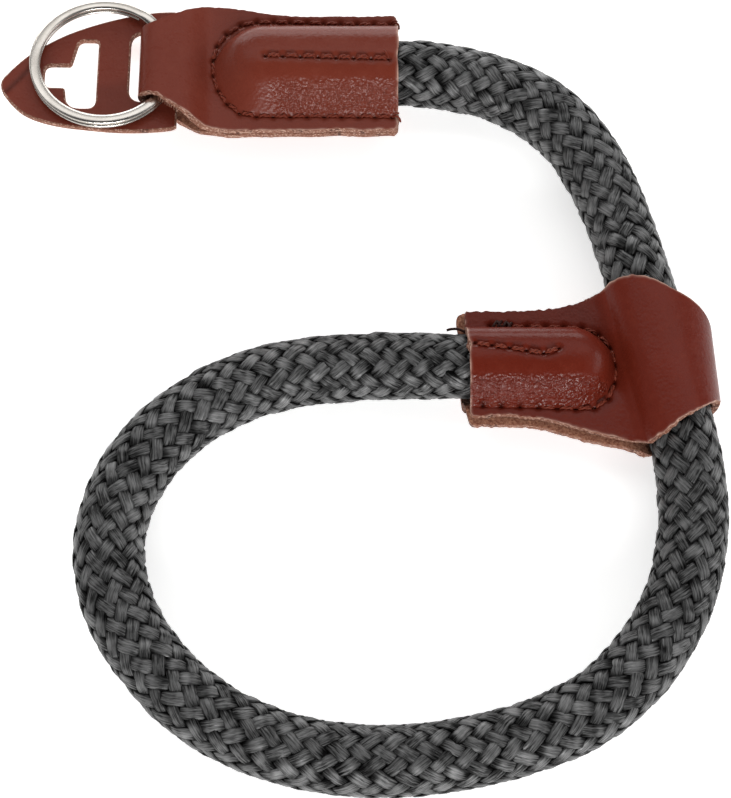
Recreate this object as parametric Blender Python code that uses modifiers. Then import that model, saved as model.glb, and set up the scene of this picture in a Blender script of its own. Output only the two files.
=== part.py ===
"""Camera wrist strap, lying on a table as it does when it is put down.

A length of braided rope starts in a sewn leather anchor, runs through a leather slider and
comes back into the slider's sewn end, which closes the wrist loop. The anchor is one strip
folded at its neck, round a split ring and through the slot of a leather protector tab.
Metres, +Z up, table at z = 0.
"""
import math

import bmesh
import bpy
from mathutils import Vector

MM = 0.001

# Rope
ROPE_DIAMETER = 12.0 * MM
ROPE_SIDE_STEPS = 4
ROPE_SAMPLES = 72
ROPE_END_NARROWING = 3.6 * MM
ROPE_END_SHARE = 0.7
ROPE_END_ROOM = 5.4 * MM
SLIDER_END_ROOM = 3.7 * MM

# Leather
LEATHER = 1.4 * MM
PIECE_GAP = 0.3 * MM
LAYER_GAP = 0.3 * MM
ROPE_EASE = 0.5 * MM

# Anchor: a folded strip, its mouth to the right and its neck to the left
ANCHOR_MOUTH_X = 8.7 * MM
ANCHOR_AXIS_Y = 29.4 * MM
ANCHOR_LENGTH = 48.3 * MM
ANCHOR_HALF_WIDTH = 12.5 * MM
ANCHOR_SEAM_HALF = 9.6 * MM
NECK_LENGTH = 13.9 * MM
NECK_CLOSING = 5.4 * MM
NECK_SLACK = 1.0 * MM

# Slider: a folded bow tie, its mouth to the left and its fold round the standing rope
SLIDER_MOUTH_X = 21.2 * MM
SLIDER_AXIS_Y = -29.6 * MM
SLIDER_HALF_WIDTH = 15.0 * MM
SLIDER_SEAM_HALF = 7.8 * MM
SLIDER_SEAM_TIP_X = 47.0 * MM
SLIDER_VALLEY = 1.0 * MM
SLIDER_FOLD_SLACK = 0.15
SLIDER_MOUTH_SLANT = 1.0 * MM

# How far the slider's lower layer sticks out past the upper one, and over which shares of the
# strip's length and width
SLIDER_UNDERLAP = 1.2 * MM
UNDERLAP_FULL = 0.40
UNDERLAP_END = 0.73
MOUTH_SHARE = 0.17
CORNER_SHARE = 0.25

# Standing rope inside the slider: where its axis lies at the slider's own axis, and its slant
STANDING_AXIS_X = 55.9 * MM
STANDING_SLANT = math.radians(12.6)

# Split ring
RING_DIAMETER = 27.6 * MM
RING_BAND = 2.0 * MM
RING_WIRE = 0.95 * MM
RING_TURN_GAP = 0.15 * MM
RING_WIRE_ROUND = 0.35 * MM
RING_JOG_START = math.radians(35.0)
RING_JOG = math.radians(24.0)
RING_PAST_FOLD = 6.6 * MM
RING_NORTH = 1.3 * MM
RING_STEPS = 66

# Protector tab
TAB_LENGTH = 33.2 * MM
TAB_HALF_WIDTH = 13.0 * MM
TAB_BRIDGE = 4.3 * MM
TAB_SWING = math.radians(8.0)
TAB_CURL = 0.9 * MM
TAB_CURL_LENGTH = 5.0 * MM
SLOT_EASE = 0.4 * MM
SLOT_LEFT_ROOM = 1.9 * MM
SLOT_ROUND = 1.2 * MM
CUTOUT_FROM_SLOT = 6.0 * MM
CUTOUT_BAR = 4.9 * MM
CUTOUT_BAR_HEIGHT = 15.0 * MM
CUTOUT_BAR_SHIFT = -0.4 * MM
CUTOUT_STEM = 4.9 * MM
CUTOUT_STEM_HEIGHT = 5.0 * MM
CUTOUT_STEM_SHIFT = -1.0 * MM
CUTOUT_SOUTH_ROOM = 1.0 * MM

# The neck, with the ring and the tab on it, lifts to the left and sinks to the north. The lean
# starts and is full at these distances from the neck's fold.
LEAN_START = 17.6 * MM
LEAN_FULL = 8.0 * MM
LEAN_PITCH = math.radians(2.5)
LEAN_ROLL = math.radians(6.0)

# Shares of the driving sizes. Anchor: share of its length from the mouth, and how far the
# south and north edges lie from its axis in half widths.
ANCHOR_OUTLINE = (
    # along, south, north
    (0.00, -1.00, 0.885),
    (0.41, -1.01, 0.885),
    (0.51, -1.02, 0.92),
    (0.61, -1.02, 0.99),
    (0.70, -1.01, 1.04),
    (0.75, -0.99, 1.05),
    (0.78, -0.95, 1.02),
    (0.82, -0.85, 0.96),
    (0.89, -0.66, 0.84),
    (0.95, -0.51, 0.74),
    (1.00, -0.47, 0.70),
)

# Slider: share of its length from the mouth to the fold, and the same two edges.
SLIDER_OUTLINE = (
    # along, south, north
    (0.00, -0.65, 0.67),
    (0.14, -0.64, 0.68),
    (0.26, -0.68, 0.69),
    (0.38, -0.79, 0.76),
    (0.48, -0.91, 0.84),
    (0.55, -1.00, 0.90),
    (0.60, -1.01, 0.94),
    (0.68, -0.95, 0.98),
    (0.77, -0.77, 0.95),
    (0.84, -0.65, 0.81),
    (0.90, -0.56, 0.68),
    (1.00, -0.46, 0.43),
)

# Tab: share of its length from the end inside the neck to the tip.
TAB_OUTLINE = (
    # along, south, north
    (0.00, -0.98, 0.93),
    (0.03, -1.01, 0.99),
    (0.19, -1.00, 0.97),
    (0.36, -0.94, 0.88),
    (0.52, -0.85, 0.78),
    (0.64, -0.77, 0.69),
    (0.76, -0.66, 0.55),
    (0.85, -0.53, 0.43),
    (0.92, -0.36, 0.32),
    (0.97, -0.19, 0.18),
)

# The rope's free routes along its centre line, in millimetres, chosen by hand. The arm runs
# from the anchor to the slider, and the loop from the slider round and back into it.
ARM_ROUTE = (
    (9.5, 29.4, 7.65),
    (17.0, 29.2, 6.7),
    (24.0, 28.0, 6.0),
    (31.5, 25.2, 6.0),
    (38.6, 20.0, 6.0),
    (43.9, 12.6, 6.0),
    (47.7, 4.2, 6.0),
    (50.3, -5.0, 6.3),
    (52.1, -12.5, 7.6),
)
LOOP_ROUTE = (
    (59.8, -48.2, 6.8),
    (60.2, -56.5, 6.0),
    (58.9, -66.0, 6.0),
    (54.9, -76.2, 6.0),
    (48.0, -85.6, 6.0),
    (38.8, -92.6, 6.0),
    (28.0, -96.7, 6.0),
    (16.5, -99.2, 6.0),
    (5.0, -100.1, 6.0),
    (-6.5, -99.0, 6.0),
    (-17.5, -95.6, 6.0),
    (-27.5, -89.7, 6.0),
    (-35.4, -81.2, 6.0),
    (-40.7, -71.6, 6.0),
    (-42.2, -61.0, 6.0),
    (-39.4, -50.8, 6.0),
    (-33.6, -42.3, 6.0),
    (-25.2, -35.6, 6.0),
    (-15.5, -31.3, 6.0),
    (-5.0, -29.3, 6.0),
    (5.0, -28.9, 6.2),
    (13.5, -29.0, 7.1),
)

# Sizes that follow from the ones above
ROPE_RADIUS = ROPE_DIAMETER / 2
SEAM_PLANE_Z = LEATHER + PIECE_GAP + ROPE_RADIUS
FLAT_HEIGHT = (LAYER_GAP + LEATHER) / 2
BULGE_RADIUS = ROPE_RADIUS + ROPE_EASE + LEATHER / 2
LOWEST_MIDDLE = LEATHER / 2
RING_HEIGHT = 2 * RING_WIRE + RING_TURN_GAP
NECK_OPENING = LEATHER + RING_HEIGHT + 2 * PIECE_GAP + NECK_SLACK
NECK_RADIUS = (NECK_OPENING + LEATHER) / 2
NECK_FOLD_X = ANCHOR_MOUTH_X - ANCHOR_LENGTH
ANCHOR_SEAM_TIP_X = NECK_FOLD_X + NECK_LENGTH
RING_CENTRE_X = NECK_FOLD_X - RING_PAST_FOLD
RING_CENTRE_Y = ANCHOR_AXIS_Y + RING_NORTH
LEAN_START_X = NECK_FOLD_X + LEAN_START
LEAN_FULL_X = NECK_FOLD_X + LEAN_FULL
NECK_CENTRE_X = NECK_FOLD_X + LEATHER / 2 + NECK_RADIUS
TAB_MIDDLE = -NECK_OPENING / 2 + PIECE_GAP + LEATHER / 2
RING_MIDDLE = TAB_MIDDLE + LEATHER / 2 + PIECE_GAP + RING_HEIGHT / 2
NECK_OPEN_X = RING_CENTRE_X + RING_DIAMETER / 2 + PIECE_GAP
TAB_END_X = NECK_OPEN_X - PIECE_GAP


def smooth(share):
    """Ease from 0 to 1."""
    share = min(max(share, 0.0), 1.0)
    return share * share * (3.0 - 2.0 * share)


def spline_point(before, start, end, after, share):
    """Point on the smooth curve between two points, given their neighbours."""
    square = share * share
    cube = square * share
    return 0.5 * (
        2.0 * start
        + (end - before) * share
        + (2.0 * before - 5.0 * start + 4.0 * end - after) * square
        + (3.0 * start - before - 3.0 * end + after) * cube
    )


def table_edges(table, along):
    """South and north columns of an outline table at a share of its length."""
    along = min(max(along, table[0][0]), table[-1][0])
    index = next(i for i in range(1, len(table)) if along <= table[i][0])
    low, high = table[index - 1], table[index]
    share = (along - low[0]) / (high[0] - low[0])
    before = table[max(index - 2, 0)]
    after = table[min(index + 1, len(table) - 1)]
    edges = []
    for column in (1, 2):
        width = high[0] - low[0]
        rise_low = (high[column] - before[column]) / (high[0] - before[0]) * width
        rise_high = (after[column] - low[column]) / (after[0] - low[0]) * width
        square = share * share
        cube = square * share
        edges.append(
            (2 * cube - 3 * square + 1) * low[column]
            + (cube - 2 * square + share) * rise_low
            + (3 * square - 2 * cube) * high[column]
            + (cube - square) * rise_high
        )
    return edges


def smooth_route(points, samples):
    """Points at even steps along the smooth curve through the given points."""
    ends = [2 * points[0] - points[1], *points, 2 * points[-1] - points[-2]]
    fine = []
    for index in range(1, len(ends) - 2):
        for step in range(20):
            fine.append(spline_point(*ends[index - 1:index + 3], step / 20))
    fine.append(points[-1].copy())
    reach = [0.0]
    for first, second in zip(fine, fine[1:]):
        reach.append(reach[-1] + (second - first).length)
    route = []
    index = 1
    for step in range(samples):
        wanted = reach[-1] * step / (samples - 1)
        while index < len(reach) - 1 and reach[index] < wanted:
            index += 1
        share = (wanted - reach[index - 1]) / (reach[index] - reach[index - 1])
        route.append(fine[index - 1].lerp(fine[index], share))
    return route


def bulge_height(distance, seam_half):
    """Height of a layer's middle over the seam plane, at a distance from the rope's axis.

    The leather follows a circle over the rope, then runs straight down to the seam.
    """
    reach = math.hypot(seam_half, FLAT_HEIGHT)
    angle = math.atan2(FLAT_HEIGHT, seam_half) + math.acos(min(BULGE_RADIUS / reach, 1.0))
    turn = BULGE_RADIUS * math.cos(angle)
    if distance <= turn:
        return math.sqrt(BULGE_RADIUS ** 2 - distance ** 2)
    if distance >= seam_half:
        return FLAT_HEIGHT
    top = BULGE_RADIUS * math.sin(angle)
    share = (distance - turn) / (seam_half - turn)
    return top + (FLAT_HEIGHT - top) * share


def neck_lean(x, y):
    """How far the neck, the ring and the tab are lifted at a place in plan."""
    run = LEAN_START_X - LEAN_FULL_X
    share = (LEAN_START_X - x) / run
    if share <= 0.0:
        return 0.0
    if share < 1.0:
        lift = run * share * share / 2
    else:
        lift = run / 2 + (LEAN_FULL_X - x)
    roll = smooth(share) * (y - ANCHOR_AXIS_Y)
    return lift * math.tan(LEAN_PITCH) - roll * math.tan(LEAN_ROLL)


def anchor_stations():
    """Places along the strip: x, height in the neck, and which layer (1 upper, -1 lower)."""
    flat_steps = 17
    fold_steps = 8
    crowding = 0.10
    upper = []
    for step in range(flat_steps + 1):
        share = step / flat_steps
        share += crowding * math.sin(math.pi * share)
        x = ANCHOR_MOUTH_X + (NECK_CENTRE_X - ANCHOR_MOUTH_X) * share
        opening = smooth((NECK_OPEN_X + NECK_CLOSING - x) / NECK_CLOSING)
        upper.append((x, FLAT_HEIGHT + (NECK_RADIUS - FLAT_HEIGHT) * opening, 1.0))
    fold = []
    for step in range(1, fold_steps):
        angle = math.pi / 2 + math.pi * step / fold_steps
        fold.append(
            (NECK_CENTRE_X + NECK_RADIUS * math.cos(angle), NECK_RADIUS * math.sin(angle), 0.0)
        )
    lower = [(x, height, -1.0) for x, height, _ in reversed(upper)]
    return upper + fold + lower


def anchor_point(station, across):
    """Middle of the anchor's leather at a station and a share of its width."""
    x, height, layer = station
    along = (ANCHOR_MOUTH_X - x) / (ANCHOR_LENGTH - LEATHER / 2)
    south, north = table_edges(ANCHOR_OUTLINE, along)
    y = ANCHOR_AXIS_Y + ANCHOR_HALF_WIDTH * (south + (north - south) * across)
    if layer == 0.0:
        level = height
    else:
        capsule_end = ANCHOR_SEAM_TIP_X + ANCHOR_SEAM_HALF
        distance = math.hypot(min(x - capsule_end, 0.0), y - ANCHOR_AXIS_Y)
        bulge = bulge_height(distance, ANCHOR_SEAM_HALF) - FLAT_HEIGHT
        level = layer * (height + bulge)
    z = SEAM_PLANE_Z + level + neck_lean(x, y)
    return Vector((x, y, max(z, LOWEST_MIDDLE)))


def standing_axis(y):
    """x of the standing rope's axis inside the slider at a given y."""
    return STANDING_AXIS_X - (y - SLIDER_AXIS_Y) * math.tan(STANDING_SLANT)


def slider_stations():
    """Places along the strip: x and height at the slider's axis, share of its length, slant
    share, and layer."""
    valley_x = SLIDER_SEAM_TIP_X + SLIDER_VALLEY
    side = math.cos(STANDING_SLANT)
    seam = (STANDING_AXIS_X - valley_x) * side
    reach = math.hypot(seam, FLAT_HEIGHT)
    turn = math.pi - math.atan2(FLAT_HEIGHT, seam) - math.acos(min(BULGE_RADIUS / reach, 1.0))
    straight = math.sqrt(max(reach ** 2 - BULGE_RADIUS ** 2, 0.0))
    flat = valley_x - SLIDER_MOUTH_X
    arc = BULGE_RADIUS * turn
    total = flat + straight + arc
    flat_steps = 12
    straight_steps = 2
    arc_steps = 11
    upper = []
    for step in range(flat_steps):
        share = step / flat_steps
        x = SLIDER_MOUTH_X + flat * share
        slant = smooth((x - valley_x + flat / 3) / (flat / 3))
        upper.append((x, FLAT_HEIGHT, flat * share / total, slant, 1.0))
    turn_x = BULGE_RADIUS * math.cos(turn)
    turn_z = BULGE_RADIUS * math.sin(turn)
    for step in range(straight_steps):
        share = step / straight_steps
        offset = -seam + (turn_x + seam) * share
        height = FLAT_HEIGHT + (turn_z - FLAT_HEIGHT) * share
        run = (flat + straight * share) / total
        upper.append((STANDING_AXIS_X + offset / side, height, run, 1.0, 1.0))
    for step in range(arc_steps):
        angle = turn * (1.0 - step / arc_steps)
        run = (flat + straight + arc * step / arc_steps) / total
        x = STANDING_AXIS_X + BULGE_RADIUS * math.cos(angle) / side
        upper.append((x, BULGE_RADIUS * math.sin(angle), run, 1.0, 1.0))
    fold = [(STANDING_AXIS_X + BULGE_RADIUS / side, 0.0, 1.0, 1.0, 1.0)]
    lower = [(x, height, run, slant, -1.0) for x, height, run, slant, _ in reversed(upper)]
    return upper + fold + lower


def slider_point(station, across):
    """Middle of the slider's leather at a station and a share of its width."""
    x, height, run, slant, layer = station
    south, north = table_edges(SLIDER_OUTLINE, run)
    south *= SLIDER_HALF_WIDTH
    north *= SLIDER_HALF_WIDTH
    overhang = SLIDER_MOUTH_SLANT * across ** 2
    if layer < 0.0:
        fade = (UNDERLAP_END - run) / (UNDERLAP_END - UNDERLAP_FULL)
        south -= SLIDER_UNDERLAP * smooth(fade)
        overhang += SLIDER_UNDERLAP * smooth(across / CORNER_SHARE)
    y = SLIDER_AXIS_Y + south + (north - south) * across
    reach = (x - STANDING_AXIS_X) / BULGE_RADIUS
    x = x + slant * (standing_axis(y) - STANDING_AXIS_X)
    slack_start = SLIDER_AXIS_Y - SLIDER_HALF_WIDTH / 2
    x += SLIDER_FOLD_SLACK * max(reach, 0.0) ** 2 * max(y - slack_start, 0.0)
    x -= overhang * smooth(1.0 - run / MOUTH_SHARE)
    capsule_end = SLIDER_SEAM_TIP_X - SLIDER_SEAM_HALF
    distance = math.hypot(max(x - capsule_end, 0.0), y - SLIDER_AXIS_Y)
    bulge = bulge_height(distance, SLIDER_SEAM_HALF) - FLAT_HEIGHT
    if x > SLIDER_SEAM_TIP_X + SLIDER_VALLEY:
        bulge = 0.0
    z = SEAM_PLANE_Z + layer * (height + bulge)
    return Vector((x, y, max(z, LOWEST_MIDDLE)))


def tab_place(along, across):
    """Turn a place on the tab, along it from its inner end and across it, to world x, y."""
    return TAB_END_X - along, RING_CENTRE_Y - along * math.tan(TAB_SWING) + across


def rounded_corners(corners, steps=4):
    """Outline through corners given as x, y and the radius that rounds each."""
    outline = []
    count = len(corners)
    for index, (x, y, radius) in enumerate(corners):
        corner = Vector((x, y))
        back = (Vector(corners[index - 1][:2]) - corner).normalized()
        ahead = (Vector(corners[(index + 1) % count][:2]) - corner).normalized()
        angle = back.angle(ahead)
        cut = radius / math.tan(angle / 2)
        start = corner + back * cut
        end = corner + ahead * cut
        for step in range(steps + 1):
            share = step / steps
            outline.append(
                start * (1 - share) ** 2 + corner * 2 * share * (1 - share) + end * share ** 2
            )
    return outline


def material(name, colour, roughness, metallic):
    """Principled material of one plain colour."""
    made = bpy.data.materials.new(name)
    made.use_nodes = True
    shader = made.node_tree.nodes["Principled BSDF"]
    shader.inputs["Base Color"].default_value = (*colour, 1.0)
    shader.inputs["Roughness"].default_value = roughness
    shader.inputs["Metallic"].default_value = metallic
    return made


def add_object(name, data, collection, finish):
    """Put new data into the scene as a named object with its material."""
    made = bpy.data.objects.new(name, data)
    collection.objects.link(made)
    if finish is not None:
        data.materials.append(finish)
    return made


def add_poly_curve(name, points, radii, collection, finish):
    """Curve object with one straight-run spline."""
    curve = bpy.data.curves.new(name, "CURVE")
    curve.dimensions = "3D"
    curve.use_fill_caps = True
    spline = curve.splines.new("POLY")
    spline.points.add(len(points) - 1)
    for place, point, radius in zip(spline.points, points, radii):
        place.co = (*point, 1.0)
        place.radius = radius
    return add_object(name, curve, collection, finish)


def leather_strip(name, stations, place, columns, collection, finish):
    """Folded strip: a grid laid along the stations, thickened to the leather's thickness."""
    mesh = bpy.data.meshes.new(name)
    grid = bmesh.new()
    rows = len(stations)
    bmesh.ops.create_grid(grid, x_segments=rows - 1, y_segments=columns, size=0.5)
    for vertex in grid.verts:
        row = round((vertex.co.x + 0.5) * (rows - 1))
        vertex.co = place(stations[row], vertex.co.y + 0.5)
    grid.to_mesh(mesh)
    grid.free()
    mesh.shade_smooth()
    strip = add_object(name, mesh, collection, finish)
    wall = strip.modifiers.new("Thickness", "SOLIDIFY")
    wall.thickness = LEATHER
    wall.offset = 0.0
    return strip


def rope_points():
    """The whole route: in the anchor, along the arm, through the slider, round, and into it."""
    anchor_end = ANCHOR_SEAM_TIP_X + ROPE_END_ROOM
    slider_end = SLIDER_SEAM_TIP_X - SLIDER_END_ROOM
    in_anchor = [
        Vector((anchor_end, ANCHOR_AXIS_Y, SEAM_PLANE_Z)),
        Vector(((anchor_end + ANCHOR_MOUTH_X) / 2, ANCHOR_AXIS_Y, SEAM_PLANE_Z)),
    ]
    standing = []
    for share in (0.65, 0.0, -0.65):
        y = SLIDER_AXIS_Y + share * SLIDER_HALF_WIDTH
        standing.append(Vector((standing_axis(y), y, SEAM_PLANE_Z)))
    in_slider = [
        Vector((SLIDER_MOUTH_X, SLIDER_AXIS_Y, SEAM_PLANE_Z)),
        Vector(((SLIDER_MOUTH_X + slider_end) / 2, SLIDER_AXIS_Y, SEAM_PLANE_Z)),
        Vector((slider_end, SLIDER_AXIS_Y, SEAM_PLANE_Z)),
    ]
    arm = [Vector(point) * MM for point in ARM_ROUTE]
    loop = [Vector(point) * MM for point in LOOP_ROUTE]
    return in_anchor + arm + standing + loop + in_slider


def build_rope(collection, finish):
    """The rope as one tube along its route, a little narrower at its two cut ends."""
    route = smooth_route(rope_points(), ROPE_SAMPLES)
    near = ROPE_END_NARROWING / 3
    route[1:1] = [route[0].lerp(route[1], near / (route[1] - route[0]).length)]
    route[-1:-1] = [route[-1].lerp(route[-2], near / (route[-1] - route[-2]).length)]
    radii = []
    for point in route:
        from_end = min((point - route[0]).length, (point - route[-1]).length)
        share = min(from_end / ROPE_END_NARROWING, 1.0)
        swell = math.sqrt(1.0 - (1.0 - share) ** 2)
        radii.append(ROPE_END_SHARE + (1.0 - ROPE_END_SHARE) * swell)
    rope = add_poly_curve("rope", route, radii, collection, finish)
    rope.data.bevel_depth = ROPE_RADIUS
    rope.data.bevel_resolution = ROPE_SIDE_STEPS
    return rope


def build_ring(collection, guides, finish):
    """Two flat turns joined by a jog, swept with a rounded flat section."""
    half_band = RING_BAND / 2
    half_wire = RING_WIRE / 2
    section = rounded_corners(
        [
            (-half_band, -half_wire, RING_WIRE_ROUND),
            (half_band, -half_wire, RING_WIRE_ROUND),
            (half_band, half_wire, RING_WIRE_ROUND),
            (-half_band, half_wire, RING_WIRE_ROUND),
        ],
        steps=1,
    )
    outline = [(*point, 0.0) for point in reversed(section)]
    profile = add_poly_curve("ring_section", outline, [1.0] * len(outline), guides, None)
    profile.data.splines[0].use_cyclic_u = True
    profile.hide_render = True
    profile.display_type = "WIRE"

    middle_radius = RING_DIAMETER / 2 - half_band
    climb = RING_WIRE + RING_TURN_GAP
    full_turn = 2 * math.pi
    start = RING_JOG_START + RING_JOG
    end = RING_JOG_START + 2 * full_turn
    points = []
    for step in range(RING_STEPS + 1):
        angle = start + (end - start) * step / RING_STEPS
        rise = smooth((angle - full_turn - RING_JOG_START) / RING_JOG)
        points.append(
            Vector(
                (
                    middle_radius * math.cos(angle),
                    middle_radius * math.sin(angle),
                    climb * (rise - 0.5),
                )
            )
        )
    ring = add_poly_curve("split_ring", points, [1.0] * len(points), collection, finish)
    ring.data.twist_mode = "Z_UP"
    ring.data.bevel_mode = "OBJECT"
    ring.data.bevel_object = profile
    height = SEAM_PLANE_Z + RING_MIDDLE + neck_lean(RING_CENTRE_X, RING_CENTRE_Y)
    ring.location = (RING_CENTRE_X, RING_CENTRE_Y, height)
    ring.rotation_euler = (-LEAN_ROLL, LEAN_PITCH, 0.0)
    return ring


def tab_outlines():
    """The leaf's edge, the slot and the T-shaped cutout, as closed outlines in world x, y."""
    south_edge = []
    north_edge = []
    steps = 18
    for step in range(steps + 1):
        along = TAB_OUTLINE[-1][0] * step / steps
        south, north = table_edges(TAB_OUTLINE, along)
        south_edge.append(tab_place(along * TAB_LENGTH, south * TAB_HALF_WIDTH))
        north_edge.append(tab_place(along * TAB_LENGTH, north * TAB_HALF_WIDTH))
    leaf = south_edge + [tab_place(TAB_LENGTH, 0.0)] + north_edge[::-1]

    fold_south, fold_north = table_edges(ANCHOR_OUTLINE, 1.0)
    slot_south = ANCHOR_AXIS_Y + fold_south * ANCHOR_HALF_WIDTH - SLOT_EASE
    slot_north = ANCHOR_AXIS_Y + fold_north * ANCHOR_HALF_WIDTH + SLOT_EASE
    slot_left = NECK_FOLD_X - SLOT_LEFT_ROOM
    slot_right = TAB_END_X - TAB_BRIDGE
    slot = rounded_corners(
        [
            (slot_left, slot_south, SLOT_ROUND),
            (slot_right, slot_south, SLOT_ROUND / 3),
            (slot_right, slot_north, SLOT_ROUND / 3),
            (slot_left, slot_north, SLOT_ROUND),
        ]
    )

    near = slot_left - CUTOUT_FROM_SLOT
    far = near - CUTOUT_BAR
    stem_far = far - CUTOUT_STEM
    bar_south = ANCHOR_AXIS_Y + CUTOUT_BAR_SHIFT - CUTOUT_BAR_HEIGHT / 2
    bar_north = bar_south + CUTOUT_BAR_HEIGHT
    stem_south = ANCHOR_AXIS_Y + CUTOUT_STEM_SHIFT - CUTOUT_STEM_HEIGHT / 2
    stem_north = stem_south + CUTOUT_STEM_HEIGHT
    cutout = rounded_corners(
        [
            (near, bar_south, 0.30 * CUTOUT_BAR),
            (near, bar_north, 0.20 * CUTOUT_BAR),
            (far + 0.25 * CUTOUT_BAR, bar_north, 0.30 * CUTOUT_BAR),
            (far, stem_north, 0.15 * CUTOUT_BAR),
            (stem_far, stem_north, 0.30 * CUTOUT_STEM),
            (stem_far, stem_south, 0.30 * CUTOUT_STEM),
            (far - CUTOUT_SOUTH_ROOM, stem_south, 0.12 * CUTOUT_BAR),
            (far - 0.5 * CUTOUT_SOUTH_ROOM, bar_south, 0.40 * CUTOUT_BAR),
        ],
        steps=3,
    )
    return leaf, slot, cutout


def build_tab(collection, finish):
    """The flat leaf with its two openings, cut across for the bend, then bent."""
    curve = bpy.data.curves.new("tab_outline", "CURVE")
    curve.dimensions = "2D"
    curve.fill_mode = "BOTH"
    curve.extrude = LEATHER / 2
    for outline in tab_outlines():
        spline = curve.splines.new("POLY")
        spline.points.add(len(outline) - 1)
        spline.use_cyclic_u = True
        for place, point in zip(spline.points, outline):
            place.co = (point[0], point[1], 0.0, 1.0)
    flat = add_object("tab_outline", curve, collection, None)
    bpy.context.view_layer.update()
    evaluated = flat.evaluated_get(bpy.context.evaluated_depsgraph_get())
    mesh = bpy.data.meshes.new_from_object(evaluated)
    bpy.data.objects.remove(flat)
    bpy.data.curves.remove(curve)

    sheet = bmesh.new()
    sheet.from_mesh(mesh)
    bmesh.ops.remove_doubles(sheet, verts=sheet.verts, dist=MM / 100)
    curl_start = TAB_END_X - TAB_LENGTH + TAB_CURL_LENGTH
    cuts = 4
    for cut in range(cuts):
        place = (curl_start - TAB_CURL_LENGTH * cut / cuts, 0.0, 0.0)
        everything = sheet.verts[:] + sheet.edges[:] + sheet.faces[:]
        bmesh.ops.bisect_plane(sheet, geom=everything, plane_co=place, plane_no=(1, 0, 0))
    for vertex in sheet.verts:
        x, y, z = vertex.co
        curl = max((curl_start - x) / TAB_CURL_LENGTH, 0.0) ** 2 * TAB_CURL
        vertex.co.z = z + SEAM_PLANE_Z + TAB_MIDDLE + neck_lean(x, y) + curl
    bmesh.ops.triangulate(sheet, faces=sheet.faces)
    bmesh.ops.recalc_face_normals(sheet, faces=sheet.faces)
    sheet.to_mesh(mesh)
    sheet.free()
    return add_object("protector_tab", mesh, collection, finish)


def main():
    """Clear the scene and build the strap."""
    for old in list(bpy.data.objects):
        bpy.data.objects.remove(old)
    strap = bpy.data.collections.new("camera_wrist_strap")
    guides = bpy.data.collections.new("guides")
    for group in (strap, guides):
        bpy.context.scene.collection.children.link(group)

    braid = material("charcoal_braid", (0.045, 0.047, 0.048), 0.8, 0.0)
    leather = material("red_brown_leather", (0.16, 0.035, 0.022), 0.45, 0.0)
    nickel = material("nickel_plated_steel", (0.72, 0.71, 0.69), 0.2, 1.0)

    build_rope(strap, braid)
    leather_strip("anchor_leather", anchor_stations(), anchor_point, 20, strap, leather)
    leather_strip("slider_leather", slider_stations(), slider_point, 20, strap, leather)
    build_ring(strap, guides, nickel)
    build_tab(strap, leather)


main()
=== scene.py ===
"""Camera wrist strap, dressed: braided rope, sewn leather ends, split ring and protector tab.

The strap lies on a pale table. Every piece is built in the row frame, in metres, +Z up, from
the same sizes as its solid, at the fineness that its surface needs.
"""
import logging
import math
from contextlib import contextmanager
from dataclasses import dataclass, field
from enum import Enum
from itertools import accumulate
from typing import ClassVar, Iterator, NamedTuple, Sequence

import bpy
import numpy as np
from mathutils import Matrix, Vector, noise
from mathutils.kdtree import KDTree


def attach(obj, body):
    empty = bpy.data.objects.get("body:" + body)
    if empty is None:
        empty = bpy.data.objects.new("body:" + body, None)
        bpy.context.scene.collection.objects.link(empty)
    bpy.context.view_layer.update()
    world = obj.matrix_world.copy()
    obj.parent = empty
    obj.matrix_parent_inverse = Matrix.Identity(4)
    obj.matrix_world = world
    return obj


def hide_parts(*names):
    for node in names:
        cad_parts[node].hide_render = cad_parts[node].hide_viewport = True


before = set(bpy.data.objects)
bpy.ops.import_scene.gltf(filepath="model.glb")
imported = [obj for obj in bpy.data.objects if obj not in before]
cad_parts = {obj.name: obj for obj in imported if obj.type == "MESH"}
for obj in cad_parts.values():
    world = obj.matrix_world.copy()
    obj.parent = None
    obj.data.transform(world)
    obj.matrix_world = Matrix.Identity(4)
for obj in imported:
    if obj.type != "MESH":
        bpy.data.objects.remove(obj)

LOG = logging.getLogger("camera_wrist_strap")

Object = bpy.types.Object
Material = bpy.types.Material
Pair = tuple[float, float]
Triple = tuple[float, float, float]

MM = 0.001

# Sizes that several pieces share
ROPE_DIAMETER = 12.0 * MM
ROPE_RADIUS = ROPE_DIAMETER / 2
LEATHER = 1.4 * MM
PIECE_GAP = 0.3 * MM
LAYER_GAP = 0.3 * MM
ROPE_EASE = 0.5 * MM
SEAM_PLANE_Z = LEATHER + PIECE_GAP + ROPE_RADIUS
FLAT_HEIGHT = (LAYER_GAP + LEATHER) / 2
BULGE_RADIUS = ROPE_RADIUS + ROPE_EASE + LEATHER / 2
LOWEST_MIDDLE = LEATHER / 2
EDGE_ROUND = 0.33 * MM

# How square the full shoulder of a bulge is, and steps of a curve between two given points
SHOULDER_POWER = 3.2
FINE_STEPS = 24


def smooth(share: float) -> float:
    """Ease from 0 to 1, the share clamped to that range."""
    share = min(max(share, 0.0), 1.0)
    return share * share * (3.0 - 2.0 * share)


def gentle(share: float) -> float:
    """Ease from 0 to 1 with no break in curvature, so that no shine line shows."""
    share = min(max(share, 0.0), 1.0)
    return share ** 3 * (share * (6.0 * share - 15.0) + 10.0)


def near(distance: float, width: float) -> float:
    """Share that falls off softly with distance, from 1."""
    return math.exp(-((distance / width) ** 2))


def ripple(place: Vector, length: float, height: float) -> float:
    """Height of the faint waves of a hide that doesn't lie quite flat."""
    return noise.noise(place / length) * height


def unit(rows: np.ndarray) -> np.ndarray:
    """Each row scaled to length 1."""
    return rows / np.linalg.norm(rows, axis=1)[:, None]


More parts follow.
